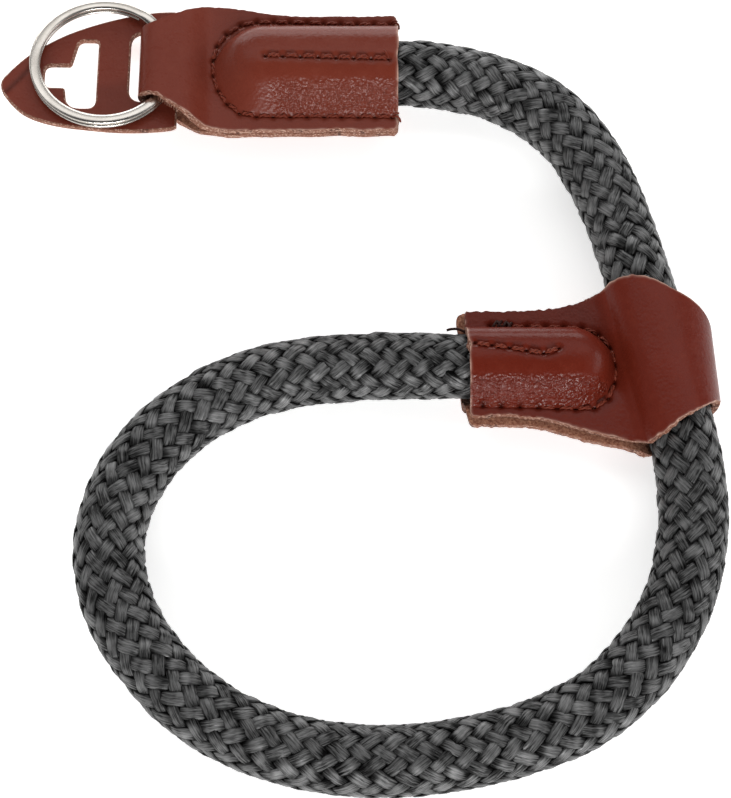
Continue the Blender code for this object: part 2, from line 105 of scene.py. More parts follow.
def waves(along: np.ndarray, lengths_mm: Sequence[float], phases: np.ndarray) -> np.ndarray:
    """Mean of waves of unlike length, so that it never seems to repeat."""
    rows = [np.sin(along / (length * MM) + phase) for length, phase in zip(lengths_mm, phases)]
    return sum(rows) / len(rows)


def spline_point(before: Vector, start: Vector, end: Vector, after: Vector, share: float) -> Vector:
    """Point on the smooth curve between two points.

    Args:
        before: The point before the start.
        start: Where the stretch starts.
        end: Where it ends.
        after: The point after the end.
        share: How far along the stretch, 0 to 1.

    Returns:
        The point on the curve.
    """
    square = share * share
    cube = square * share
    return 0.5 * (
        2.0 * start
        + (end - before) * share
        + (2.0 * before - 5.0 * start + 4.0 * end - after) * square
        + (3.0 * start - before - 3.0 * end + after) * cube
    )


def smooth_route(points: Sequence[Vector], step_length: float) -> list[Vector]:
    """Points at even steps along the smooth curve through the given points.

    Args:
        points: The points that the curve runs through.
        step_length: The wanted distance between two points, in metres.

    Returns:
        The evenly spaced points, both ends included.
    """
    ends = [2 * points[0] - points[1], *points, 2 * points[-1] - points[-2]]
    fine = [
        spline_point(*ends[index:index + 4], step / FINE_STEPS)
        for index in range(len(ends) - 3) for step in range(FINE_STEPS)
    ]
    fine.append(points[-1].copy())
    reach = [0.0, *accumulate((end - start).length for start, end in zip(fine, fine[1:]))]
    samples = max(round(reach[-1] / step_length), 1) + 1
    route = []
    index = 1
    for step in range(samples):
        wanted = reach[-1] * step / (samples - 1)
        while index < len(reach) - 1 and reach[index] < wanted:
            index += 1
        share = (wanted - reach[index - 1]) / (reach[index] - reach[index - 1])
        route.append(fine[index - 1].lerp(fine[index], share))
    return route


def route_mm(points: Sequence[Sequence[float]], step_length: float) -> list[Vector]:
    """Points at even steps through places given in millimetres, in plan or in space."""
    return smooth_route([Vector(point).to_3d() * MM for point in points], step_length)


def plan_tree(points: Sequence[Vector]) -> KDTree:
    """Search tree over points.

    Args:
        points: The points.

    Returns:
        The tree, ready to search.
    """
    tree = KDTree(len(points))
    for index, point in enumerate(points):
        tree.insert(point, index)
    tree.balance()
    return tree


def away(tree: KDTree, x: float, y: float) -> float:
    """How far a place in plan is from the nearest point of a tree."""
    return tree.find(Vector((x, y, 0.0)))[2]


def table_edges(table: Sequence[Triple], along: float) -> Pair:
    """South and north columns of an outline table, read smoothly.

    Args:
        table: Rows of along, south and north.
        along: The share of the length to read at.

    Returns:
        The south and the north value there.
    """
    along = min(max(along, table[0][0]), table[-1][0])
    index = next(i for i in range(1, len(table)) if along <= table[i][0])
    low, high = table[index - 1], table[index]
    before = table[max(index - 2, 0)]
    after = table[min(index + 1, len(table) - 1)]
    width = high[0] - low[0]
    share = (along - low[0]) / width
    square = share * share
    cube = square * share
    edges = []
    for column in (1, 2):
        rise_low = (high[column] - before[column]) / (high[0] - before[0]) * width
        rise_high = (after[column] - low[column]) / (after[0] - low[0]) * width
        edges.append(
            (2 * cube - 3 * square + 1) * low[column]
            + (cube - 2 * square + share) * rise_low
            + (3 * square - 2 * cube) * high[column]
            + (cube - square) * rise_high
        )
    return edges[0], edges[1]


def bulge_height(distance: float, seam_half: float, fullness: float) -> float:
    """Height of a leather layer's middle over the seam plane.

    The leather follows a circle over the rope, then runs straight down to the seam. A full
    shoulder stays high and drops steeply beside the seam.

    Args:
        distance: How far from the rope's axis, in plan.
        seam_half: How far from the axis the seam lies.
        fullness: 0 for the straight shoulder, 1 for the full one.

    Returns:
        The height in metres.
    """
    if distance >= seam_half:
        return FLAT_HEIGHT
    reach = math.hypot(seam_half, FLAT_HEIGHT)
    angle = math.atan2(FLAT_HEIGHT, seam_half) + math.acos(min(BULGE_RADIUS / reach, 1.0))
    turn = BULGE_RADIUS * math.cos(angle)
    if distance <= turn:
        straight = math.sqrt(BULGE_RADIUS ** 2 - distance ** 2)
    else:
        top = BULGE_RADIUS * math.sin(angle)
        straight = top + (FLAT_HEIGHT - top) * (distance - turn) / (seam_half - turn)
    drop = 1.0 - (distance / seam_half) ** SHOULDER_POWER
    full = FLAT_HEIGHT + (BULGE_RADIUS - FLAT_HEIGHT) * drop
    return straight + (full - straight) * fullness


def corner_point(start: Vector, corner: Vector, end: Vector, share: float) -> Vector:
    """Point on the curve that leaves a start for a corner and arrives at an end."""
    return start * (1 - share) ** 2 + corner * 2 * share * (1 - share) + end * share ** 2


def rounded_corners(corners: Sequence[Triple], steps: int) -> list[Vector]:
    """Closed outline through corners, each rounded.

    Args:
        corners: Rows of x, y and the radius that rounds the corner.
        steps: Edges on each rounded corner.

    Returns:
        The outline's points in plan.
    """
    outline = []
    for index, (x, y, radius) in enumerate(corners):
        corner = Vector((x, y))
        back = (Vector(corners[index - 1][:2]) - corner).normalized()
        ahead = (Vector(corners[(index + 1) % len(corners)][:2]) - corner).normalized()
        cut = radius / math.tan(back.angle(ahead) / 2)
        ends = corner + back * cut, corner, corner + ahead * cut
        outline += [corner_point(*ends, step / steps) for step in range(steps + 1)]
    return outline


def tube_faces(
    first: int, rows: int, sides: int, turned: bool = False, capped: bool = True
) -> list[tuple[int, ...]]:
    """Faces of a tube whose points are numbered ring by ring.

    Args:
        first: The number of its first point.
        rows: How many rings it has.
        sides: How many points each ring has.
        turned: Whether the rings run the other way round.
        capped: Whether its two ends are closed.

    Returns:
        The point numbers of each face.
    """
    faces: list[tuple[int, ...]] = []
    for low in range(first, first + (rows - 1) * sides, sides):
        for side in range(sides):
            beside = (side + 1) % sides
            face = (low + side, low + beside, low + sides + beside, low + sides + side)
            faces.append((face[0], *face[:0:-1]) if turned else face)
    if capped:
        start = tuple(range(first, first + sides))
        end = tuple(index + (rows - 1) * sides for index in start)
        faces += [start, end[::-1]] if turned else [start[::-1], end]
    return faces


def set_up(thing: bpy.types.bpy_struct, **settings: object) -> bpy.types.bpy_struct:
    """Set the named properties of a node, modifier, curve, light or camera.

    Args:
        thing: What is set up.
        **settings: Its properties and their values.

    Returns:
        The same thing.
    """
    for name, value in settings.items():
        setattr(thing, name, value)
    return thing


def new_object(name: str, data: bpy.types.ID) -> Object:
    """Put new data into the scene.

    Args:
        name: The object's name.
        data: Its mesh, curve, light or camera.

    Returns:
        The object.
    """
    made = bpy.data.objects.new(name, data)
    bpy.context.scene.collection.objects.link(made)
    return made


def deselect_all() -> None:
    """Leave edit mode and select nothing."""
    if bpy.context.object and bpy.context.object.mode != "OBJECT":
        bpy.ops.object.mode_set(mode="OBJECT")
    bpy.ops.object.select_all(action="DESELECT")


def select_only(piece: Object) -> None:
    """Select one object and make it the active one.

    Args:
        piece: The object.
    """
    deselect_all()
    piece.select_set(True)
    bpy.context.view_layer.objects.active = piece


@contextmanager
def edit_mode() -> Iterator[None]:
    """Keep the active object in edit mode for the lines under it.

    Returns:
        A context for a with statement.
    """
    bpy.ops.object.mode_set(mode="EDIT")
    yield
    bpy.ops.object.mode_set(mode="OBJECT")


def as_mesh(curve: Object) -> Object:
    """Turn a curve's object into a mesh.

    Args:
        curve: The curve's object.

    Returns:
        The mesh's object, selected.
    """
    select_only(curve)
    bpy.ops.object.convert(target="MESH")
    return bpy.context.object


def add_run(curve: bpy.types.Curve, points: Sequence[Vector], closed: bool = False) -> None:
    """Add a line of straight stretches to a curve.

    Args:
        curve: The curve that takes it.
        points: Its points, in plan or in space.
        closed: Whether it runs back to its start.
    """
    run = curve.splines.new("POLY")
    run.points.add(len(points) - 1)
    run.use_cyclic_u = closed
    for point, place in zip(run.points, points):
        point.co = (*place.to_3d(), 1.0)


def keep_values(mesh: bpy.types.Mesh, **layers: Sequence[float]) -> None:
    """Keep a number for every point under each name, for the finish to read."""
    for name, values in layers.items():
        mesh.attributes.new(name, "FLOAT", "POINT").data.foreach_set("value", values)


def hand_over(piece: Object, slot: str, *nodes: str) -> None:
    """Hang a finished piece on the root body, hide the solids that it stands for and log its
    triangles.

    Args:
        piece: The finished piece.
        slot: Not used.
        *nodes: The solids that it replaces.
    """
    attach(piece, "root")
    if nodes:
        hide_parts(*nodes)
    triangles = sum(len(face.vertices) - 2 for face in piece.data.polygons)
    LOG.info("%s: %d triangles", piece.name, triangles)


def sweep_threads(
    name: str, runs: Sequence[Sequence[Vector]], radius: float, finish: Material
) -> None:
    """Sweep thread along each run of points, make it one mesh and hand it over.

    Args:
        name: The piece's name.
        runs: The lines that the thread follows.
        radius: The thread's radius.
        finish: The thread's material.
    """
    curve = set_up(
        bpy.data.curves.new(name, "CURVE"),
        dimensions="3D", bevel_depth=radius, bevel_resolution=1, use_fill_caps=True,
    )
    for run in runs:
        add_run(curve, run)
    curve.materials.append(finish)
    thread = as_mesh(new_object(name, curve))
    bpy.ops.object.shade_smooth()
    hand_over(thread, "red_brown_leather")


def linear(hex_colour: str) -> tuple[float, float, float, float]:
    """Turn an sRGB hex colour into linear light.

    Args:
        hex_colour: The colour, as # and six digits.

    Returns:
        Linear red, green, blue and full alpha.
    """
    parts = [int(hex_colour[i:i + 2], 16) / 255 for i in (1, 3, 5)]
    lin = [c / 12.92 if c <= 0.04045 else ((c + 0.055) / 1.055) ** 2.4 for c in parts]
    return lin[0], lin[1], lin[2], 1.0


class Node(NamedTuple):
    """One shader node: its own name, its kind, what goes in, its settings and what is read.

    A word among its inputs names an earlier node or one of the finish's colours.
    """

    name: str
    kind: str
    inputs: dict = {}
    settings: dict = {}
    output: int | str | None = None


# Settings and outputs of the kinds of node that don't use their first output as it comes
KIND_SETTINGS = {"Mix": {"data_type": "RGBA"}}
KIND_OUTPUTS = {"Mix": 2, "Attribute": "Fac", "TexCoord": "Object"}

PLACE = Node("place", "TexCoord")


def add_node(tree: bpy.types.NodeTree, node: Node, known: dict[str, object]) -> None:
    """Add a node with its settings, values and links.

    Args:
        tree: The tree that takes it.
        node: What to add.
        known: What its inputs may name; its own output joins it.
    """
    made = tree.nodes.new("ShaderNode" + node.kind)
    set_up(made, **KIND_SETTINGS.get(node.kind, {}), **node.settings)
    for name, value in node.inputs.items():
        source = known[value] if isinstance(value, str) else value
        if isinstance(source, bpy.types.NodeSocket):
            tree.links.new(source, made.inputs[name])
        else:
            made.inputs[name].default_value = source
    read = KIND_OUTPUTS.get(node.kind, 0) if node.output is None else node.output
    known[node.name] = made.outputs[read]


def feed(
    tree: bpy.types.NodeTree, target: bpy.types.Node, nodes: Sequence[Node], colours: dict
) -> None:
    """Add nodes and link each that bears the name of one of the target's sockets to it.

    Args:
        tree: The tree that takes them.
        target: The shader that they feed.
        nodes: The nodes, each after those that it reads.
        colours: The linear colours that they may name.
    """
    known = dict(colours)
    for node in nodes:
        add_node(tree, node, known)
        if node.name in target.inputs:
            tree.links.new(known[node.name], target.inputs[node.name])


class Side(Enum):
    """Material slots of a leather piece."""

    GRAIN = 0
    FLESH = 1
    EDGE = 2


@dataclass(frozen=True)
class Finish:
    """A surface: its colours, the shader's plain values and the nodes that vary them.

    Its fields are its name and its colours, as sRGB hex values.
    """

    name: str
    values: ClassVar[dict[str, float]] = {}
    nodes: ClassVar[tuple[Node, ...]] = ()

    def build(self) -> Material:
        """Make the material.

        Returns:
            The material.
        """
        made = bpy.data.materials.new(self.name)
        made.use_nodes = True
        shader = made.node_tree.nodes["Principled BSDF"]
        for socket, value in self.values.items():
            shader.inputs[socket].default_value = value
        colours = {key: linear(value) for key, value in vars(self).items() if key != "name"}
        feed(made.node_tree, shader, self.nodes, colours)
        return made


@dataclass(frozen=True)
class GrainLeather(Finish):
    """Chrome-tanned cowhide with a smooth pigmented top."""

    # An even red-brown with a soft satin shine. Fine pebbles catch the light only where the
    # hide is stretched, the holes and the tab's crease are painted darker as painted shade, and
    # handling has bared pale fibre along a border.
    name: str = "grain_leather"
    colour: str = "#743325"
    dark: str = "#6a2c20"
    rubbed: str = "#7c3d2e"
    shade_colour: str = "#120403"
    fibre: str = "#cda998"
    pebble: ClassVar[float] = 0.54 * MM
    values = {"Roughness": 0.3, "IOR": 1.48, "Specular IOR Level": 0.15}
    nodes = (
        PLACE,
        Node("cloud", "TexNoise",
             {"Vector": "place", "Scale": 1 / (14.0 * MM), "Detail": 3.0, "Roughness": 0.55}),
        Node("fleck", "TexNoise",
             {"Vector": "place", "Scale": 1 / (2.2 * MM), "Detail": 4.0, "Roughness": 0.6}),
        Node("warp", "TexNoise", {"Vector": "place", "Scale": 1 / (1.1 * MM), "Detail": 2.0},
             output="Color"),
        Node("bent", "VectorMath", {0: "warp", 1: (0.35 * MM,) * 3, 2: "place"},
             {"operation": "MULTIPLY_ADD"}),
        Node("pebbles", "TexVoronoi", {"Vector": "bent", "Scale": 1 / pebble, "Smoothness": 0.7},
             {"feature": "SMOOTH_F1"}),
        Node("wide", "TexVoronoi", {"Vector": "bent", "Scale": 0.42 / pebble}),
        Node("both", "Math", {0: "wide", 1: 0.6, 2: "pebbles"}, {"operation": "MULTIPLY_ADD"}),
        Node("toned", "Mix", {0: "cloud", 6: "dark", 7: "colour"}),
        Node("rub", "MapRange",
             {"Value": "fleck", "From Min": 0.52, "From Max": 0.78, "To Min": 0.0, "To Max": 0.35}),
        Node("worn", "Mix", {0: "rub", 6: "toned", 7: "rubbed"}),
        # Painted shade: the attribute darkens the stitch holes and the tab's crease towards the
        # shade colour
        Node("hole", "Attribute", {}, {"attribute_name": "hole"}),
        Node("sewn", "Mix", {0: "hole", 6: "worn", 7: "shade_colour"}),
        Node("scuff", "Attribute", {}, {"attribute_name": "scuff"}),
        Node("Base Color", "Mix", {0: "scuff", 6: "sewn", 7: "fibre"}),
        Node("Roughness", "MapRange",
             {"Value": "fleck", "From Min": 0.3, "From Max": 0.7, "To Min": 0.24, "To Max": 0.35}),
        Node("grain", "Attribute", {}, {"attribute_name": "grain"}),
        Node("relief", "MapRange", {"Value": "grain", "To Min": 0.1, "To Max": 1.0}),
        Node("Normal", "Bump", {"Height": "both", "Strength": "relief", "Distance": 0.4 * MM},
             {"invert": True}),
        Node("Specular IOR Level", "MapRange",
             {"Value": "grain", "To Min": 0.14, "To Max": 0.33}),
    )


@dataclass(frozen=True)
class FleshLeather(Finish):
    """The suede inside of the hide, split and left raw."""

    # Matt, paler than the grain and fibrous, with no shine at all
    name: str = "flesh_side_leather"
    colour: str = "#723e2d"
    pale: str = "#bf8a6e"
    values = {"Roughness": 0.9, "IOR": 1.45}
    nodes = (
        PLACE,
        Node("fibre", "TexNoise",
             {"Vector": "place", "Scale": 1 / (0.5 * MM), "Detail": 5.0, "Roughness": 0.7}),
        Node("light", "MapRange", {"Value": "fibre", "From Min": 0.38, "From Max": 0.66}),
        Node("Base Color", "Mix", {0: "light", 6: "colour", 7: "pale"}),
        Node("Normal", "Bump", {"Height": "fibre", "Strength": 0.8, "Distance": 0.2 * MM}),
    )


@dataclass(frozen=True)
class CutEdge(Finish):
    """The raw cut edge of the hide."""

    # Undyed tan fibre with dark pits and pale tufts, which reads as a speckled line
    name: str = "raw_cut_edge"
    colour: str = "#7a4b38"
    pale: str = "#c8a593"
    pit: str = "#34160c"
    values = {"Roughness": 0.85, "IOR": 1.45}
    nodes = (
        PLACE,
        Node("fibre", "TexNoise",
             {"Vector": "place", "Scale": 1 / (0.42 * MM), "Detail": 4.0, "Roughness": 0.65}),
        Node("patch", "TexNoise", {"Vector": "place", "Scale": 1 / (2.6 * MM), "Detail": 2.0}),
        Node("light", "MapRange", {"Value": "fibre", "From Min": 0.5, "From Max": 0.65}),
        Node("tone", "Mix", {0: "light", 6: "colour", 7: "pale"}),
        Node("mixed", "Math", {0: "fibre", 1: "patch"}, {"operation": "ADD"}),
        Node("deep", "MapRange",
             {"Value": "mixed", "From Min": 0.92, "From Max": 0.74, "To Max": 0.85}),
        Node("Base Color", "Mix", {0: "deep", 6: "tone", 7: "pit"}),
        Node("Normal", "Bump", {"Height": "fibre", "Strength": 0.9, "Distance": 0.22 * MM}),
    )


@dataclass(frozen=True)
class SewingThread(Finish):
    """Bonded polyester sewing thread, lightly waxed."""

    # Dark, with a dull shine that the ply's fine ridges break up
    colour: str
    lit: str
    values = {"Roughness": 0.5, "IOR": 1.55, "Specular IOR Level": 0.15}
    nodes = (
        PLACE,
        Node("ply", "TexNoise",
             {"Vector": "place", "Scale": 1 / (0.3 * MM), "Detail": 3.0, "Distortion": 0.8}),
        Node("Base Color", "Mix", {0: "ply", 6: "colour", 7: "lit"}),
        Node("Normal", "Bump", {"Height": "ply", "Strength": 0.7, "Distance": 0.1 * MM}),
    )


@dataclass(frozen=True)
class BraidFibre(Finish):
    """Multifilament polyester, dyed charcoal and braided."""

    # Each strand is a flat bundle of parallel filaments, which gives streaks along it and a
    # dull silky shine on its crown. Its raised crown is painted lighter, a painted highlight, and
    # its ends, where it dives under the crossing strands, painted darker, a painted shade. Its
    # place is read in millimetres along and shares across.
    name: str = "charcoal_polyester_strands"
    dark: str = "#040404"
    light: str = "#686868"
    values = {"Roughness": 0.42, "IOR": 1.57}
    nodes = (
        Node("place", "UVMap", {}, {"uv_map": "strand"}),
        Node("stretched", "VectorMath", {0: "place", 1: (0.4, 9.0, 1.0)},
             {"operation": "MULTIPLY"}),
        # Painted highlight and shade: lighter on the raised crown, darker where the strand dives
        # under
        Node("crown", "Attribute", {}, {"attribute_name": "crown"}),
        Node("streak", "TexNoise",
             {"Vector": "stretched", "Scale": 1.0, "Detail": 3.0, "Roughness": 0.65,
              "Distortion": 0.3}),
        Node("patch", "TexNoise", {"Vector": "place", "Scale": 0.4, "Detail": 1.0}),
        Node("mixed", "Math", {0: "patch", 1: 0.8, 2: "streak"}, {"operation": "MULTIPLY_ADD"}),
        Node("raised", "Math", {0: "crown", 1: 0.6, 2: "mixed"}, {"operation": "MULTIPLY_ADD"}),
        Node("share", "MapRange", {"Value": "raised", "From Min": 1.18, "From Max": 1.88}),
        Node("Base Color", "Mix", {0: "share", 6: "dark", 7: "light"}),
        Node("Specular IOR Level", "MapRange",
             {"Value": "raised", "From Min": 1.35, "From Max": 1.85, "To Min": 0.03,
              "To Max": 1.3}),
        Node("Roughness", "MapRange",
             {"Value": "streak", "From Min": 0.35, "From Max": 0.7, "To Min": 0.44,
              "To Max": 0.32}),
        Node("Normal", "Bump", {"Height": "streak", "Strength": 0.9, "Distance": 0.2 * MM}),
    )


@dataclass(frozen=True)
class RopeCore(Finish):
    """The bundle of spun fibre inside the braid."""

    # Seen only as dark depth between the strands
    name: str = "rope_core_fibre"
    dark: str = "#070808"
    light: str = "#141515"
    values = {"Roughness": 0.9, "IOR": 1.55, "Specular IOR Level": 0.05}
    nodes = (
        PLACE,
        Node("fibre", "TexNoise", {"Vector": "place", "Scale": 1 / (0.6 * MM), "Detail": 3.0}),
        Node("Base Color", "Mix", {0: "fibre", 6: "dark", 7: "light"}),
    )


@dataclass(frozen=True)
class NickelPlate(Finish):
    """Bright nickel over drawn spring steel."""

    # A warm grey mirror with a little haze and fine draw marks
    name: str = "bright_nickel_plate"
    colour: str = "#cfcac4"
    dull: str = "#b4aea6"
    values = {"Metallic": 1.0, "Roughness": 0.14}
    nodes = (
        PLACE,
        Node("haze", "TexNoise", {"Vector": "place", "Scale": 1 / (3.0 * MM), "Detail": 3.0}),
        Node("Base Color", "Mix", {0: "haze", 6: "colour", 7: "dull"}),
        Node("Roughness", "MapRange", {"Value": "haze", "To Min": 0.2, "To Max": 0.3}),
        Node("mark", "TexNoise", {"Vector": "place", "Scale": 1 / (0.5 * MM), "Detail": 2.0}),
        Node("Normal", "Bump", {"Height": "mark", "Strength": 0.02, "Distance": 0.02 * MM}),
    )


@dataclass(frozen=True)
class TableSheet(Finish):
    """Opal acrylic sheet that glows faintly by itself, though it is no lamp: painted light that
    lightens the shadows on it and lights the strap from below.
    """

    # White and matt; its own glow keeps the shadows on it light
    name: str = "glowing_table_sheet"
    colour: str = "#fbfbfa"
    shade: str = "#f6f6f5"
    # Painted light: the emission makes the sheet glow
    values = {
        "Roughness": 0.9, "IOR": 1.4, "Emission Color": linear("#ffffff"),
        "Emission Strength": 0.58,
    }
    nodes = (
        PLACE,
        Node("mottle", "TexNoise", {"Vector": "place", "Scale": 9.0, "Detail": 2.0}),
        Node("Base Color", "Mix", {0: "mottle", 6: "colour", 7: "shade"}),
    )


class Station(NamedTuple):
    """One cross line of a folded strip.

    Its layer is 1 above the seam plane, -1 under it and 0 in an open fold. The slider's lines
    also say their share of the way to its fold and how far they slant with the standing rope.
    """

    x: float
    height: float
    layer: float
    run: float = 0.0
    slant: float = 0.0


@dataclass
class Seam:
    """A line of stitches through both layers of a sleeve.

    The holes are pricked at even steps, and the thread dips into each.
    """

    route: Sequence[Pair]
    pitch: float = 3.2 * MM
    groove: float = 0.16 * MM
    groove_width: float = 0.6 * MM
    pit: float = 0.85 * MM
    pit_width: float = 0.56 * MM
    pit_floor: float = 1.5
    grip: float = 1.4 * MM
    line_step: float = 0.15 * MM
    holes: list[Vector] = field(init=False)
    line_tree: KDTree = field(init=False)
    hole_tree: KDTree = field(init=False)

    def __post_init__(self) -> None:
        """Lay out the line and its holes."""
        self.holes = route_mm(self.route, self.pitch)
        self.line_tree = plan_tree(route_mm(self.route, self.line_step))
        self.hole_tree = plan_tree(self.holes)

    def free(self, x: float, y: float) -> float:
        """How free the leather is to rise at a place: 0 on the seam, 1 well away from it."""
        return 1.0 - near(away(self.line_tree, x, y), self.grip)

    def depth(self, x: float, y: float) -> Pair:
        """How deep the leather is pulled in at a place, and how much of that is a hole.

        Args:
            x: Place in plan.
            y: Place in plan.

        Returns:
            The depth in metres and the hole's share, 0 to 1.
        """
        from_line = away(self.line_tree, x, y)
        if from_line > 4 * self.groove_width:
            return 0.0, 0.0
        pit = min(self.pit_floor * near(away(self.hole_tree, x, y), self.pit_width), 1.0)
        return self.groove * near(from_line, self.groove_width) + self.pit * pit, pit


@dataclass
class LeatherStrip:
    """A strip of leather, folded over itself and sewn round a rope end."""

    name: str = ""
    node: str = ""
    finishes: Sequence[Material] = ()
    seams: Sequence[Seam] = ()
    columns: int = 92
    axis_y: float = 0.0
    seam_half: float = 0.0
    seam_tip_x: float = 0.0
    facing: float = 1.0
    fullness: float = 0.9
    shoulder_start: float = 0.35
    shoulder_run: float = 0.9
    north_ease: float = 1.1 * MM
    open_lift: float = 1.2 * MM
    open_from: float = 0.36
    open_run: float = 0.22
    wave: float = 0.30 * MM
    wave_length: float = 5.0 * MM
    nibble: float = 0.12 * MM
    nibble_length: float = 0.9 * MM
    mouth_wave: float = 0.28 * MM
    corner: float = 0.7 * MM
    corner_width: float = 0.05
    scuffed_north: float = 0.0
    scuff_steps: Pair = (0.9, 0.12)
    scuff_grain: float = 0.21
    scuff_mean: float = 0.6
    scuff_spread: float = 1.1
    waves_length: float = 9.0 * MM
    waves_height: float = 0.10 * MM

    def stations(self) -> list[Station]:
        """Cross lines from the upper mouth, round the fold, to the lower mouth."""
        raise NotImplementedError

    def plan(self, station: Station, across: float) -> Pair:
        """Place in plan of a point on a cross line."""
        raise NotImplementedError

    def lean(self, x: float, y: float) -> float:
        """How far the whole strip is lifted at a place in plan."""
        return 0.0

    @property
    def capsule_end(self) -> float:
        """Where the bulge over the rope starts to close towards the rope's end."""
        return self.seam_tip_x - self.facing * self.seam_half

    def bulge(self, x: float, y: float) -> float:
        """How far the rope end lifts a layer.

        Args:
            x: Place in plan.
            y: Place in plan.

        Returns:
            The lift in metres, 0 outside the seam.
        """
        past = max((x - self.capsule_end) * self.facing, 0.0)
        distance = math.hypot(past, y - self.axis_y)
        share = (y - self.axis_y) / self.seam_half / self.shoulder_run
        north = smooth(share + self.shoulder_start)
        foot = self.seam_half - self.north_ease * north
        return bulge_height(distance, foot, self.fullness * north) - FLAT_HEIGHT

    def grain(self, x: float, y: float) -> float:
        """How far the grain has opened, where the hide is stretched over the south flank.

        Args:
            x: Place in plan.
            y: Place in plan.

        Returns:
            The share, 0 for tight and 1 for open.
        """
        flank = (self.axis_y - y) / self.seam_half
        opened = smooth((flank - self.open_from) / self.open_run)
        return smooth(self.bulge(x, y) / self.open_lift) * opened

    def scuff(self, station: Station, row: int, column: int) -> float:
        """How far handling has worn the grain off a border, down to pale fibre.

        Args:
            station: The cross line.
            row: How many cross lines it is from the upper mouth.
            column: How many steps across, 0 at the south edge.

        Returns:
            The share, 0 for whole grain and 1 for bare fibre.
        """
        steps = min(row, column)
        if self.scuffed_north and station.run > self.scuffed_north:
            steps = min(steps, self.columns - column)
        if station.layer < 1.0 or steps >= len(self.scuff_steps):
            return 0.0
        fleck = noise.noise(Vector((row, column, 2.0)) * self.scuff_grain)
        share = min(max(self.scuff_mean + self.scuff_spread * fleck, 0.0), 1.0)
        return share * self.scuff_steps[steps]

    def uneven(self, station: Station, across: float) -> Pair:
        """How far hand cutting leaves a point off its drawn outline.

        Args:
            station: The cross line.
            across: Share of the width, 0 south and 1 north.

        Returns:
            The shift of the mouth in x and of the long edges in y.
        """
        x, layer = station.x, station.layer
        side = (2.0 * across - 1.0) ** 7
        wave = noise.noise(Vector((x / self.wave_length, layer, side)))
        nick = noise.noise(Vector((x / self.nibble_length, layer * 7, side)))
        mouth = noise.noise(Vector((across * 7, layer, 3.0)))
        corner = max(1.0 - min(across, 1.0 - across) / self.corner_width, 0.0) ** 2
        return (
            self.mouth_wave * mouth - self.corner * corner,
            (self.wave * wave + self.nibble * nick) * side,
        )

    def place(self, station: Station, across: float) -> tuple[Vector, float]:
        """Middle of the leather at a share of a cross line.

        Args:
            station: The cross line.
            across: Share of the width, 0 south and 1 north.

        Returns:
            The point and the share of painted shade there, which darkens the leather at the holes.
        """
        x, y = self.plan(station, across)
        layer = station.layer or 1.0
        level = station.height
        depth = hole = 0.0
        if station.layer:
            rise = (station.height - FLAT_HEIGHT) * self.seams[0].free(x, y)
            level = FLAT_HEIGHT + rise + self.bulge(x, y)
            for seam in self.seams:
                dip, pit = seam.depth(x, y)
                depth = max(depth, dip)
                # The hole's share also paints the leather darker there: painted shade
                hole = max(hole, pit)
        spot = Vector((x, y, station.layer * MM))
        wave = ripple(spot, self.waves_length, self.waves_height)
        z = SEAM_PLANE_Z + layer * level + self.lean(x, y) + wave
        return Vector((x, y, max(z, LOWEST_MIDDLE) - layer * depth)), hole

    def outer_height(self, x: float, y: float, layer: float) -> float:
        """Height of the outer face over the flat and bulged part of a layer.

        Args:
            x: Place in plan.
            y: Place in plan.
            layer: 1 for the upper layer, -1 for the lower one.

        Returns:
            The height over the table.
        """
        level = FLAT_HEIGHT + self.bulge(x, y)
        middle = max(SEAM_PLANE_Z + layer * level + self.lean(x, y), LOWEST_MIDDLE)
        return middle + layer * LEATHER / 2

    def build(self) -> None:
        """Lay the strip as a grid, give it its wall and round its cut edges."""
        stations = self.stations()
        rows = len(stations)
        deselect_all()
        bpy.ops.mesh.primitive_grid_add(
            x_subdivisions=rows - 1, y_subdivisions=self.columns, size=1.0
        )
        strip = bpy.context.object
        strip.name = strip.data.name = self.name
        holes, grains, scuffs = [], [], []
        for vertex in strip.data.vertices:
            row = round((vertex.co.x + 0.5) * (rows - 1))
            across = vertex.co.y + 0.5
            station = stations[row]
            vertex.co, hole = self.place(station, across)
            holes.append(hole)
            grains.append(self.grain(vertex.co.x, vertex.co.y) * max(station.layer, 0.0))
            scuffs.append(self.scuff(station, row, round(across * self.columns)))
        # Painted shade at the stitch holes, kept for the finish to darken them
        keep_values(strip.data, hole=holes, grain=grains, scuff=scuffs)
        for finish in self.finishes:
            strip.data.materials.append(finish)
        select_only(strip)
        bpy.ops.object.shade_smooth()
        if stations[0].x > stations[rows // 2].x:
            with edit_mode():
                bpy.ops.mesh.select_all(action="SELECT")
                bpy.ops.mesh.flip_normals()
        set_up(
            strip.modifiers.new("wall", "SOLIDIFY"), thickness=LEATHER, offset=0.0,
            material_offset=Side.FLESH.value, material_offset_rim=Side.EDGE.value,
        )
        set_up(
            strip.modifiers.new("edge", "BEVEL"), width=EDGE_ROUND, segments=2,
            material=Side.EDGE.value, limit_method="ANGLE", angle_limit=math.radians(60),
        )
        select_only(strip)
        for modifier in list(strip.modifiers):
            bpy.ops.object.modifier_apply(modifier=modifier.name)
        hand_over(strip, "red_brown_leather", self.node)


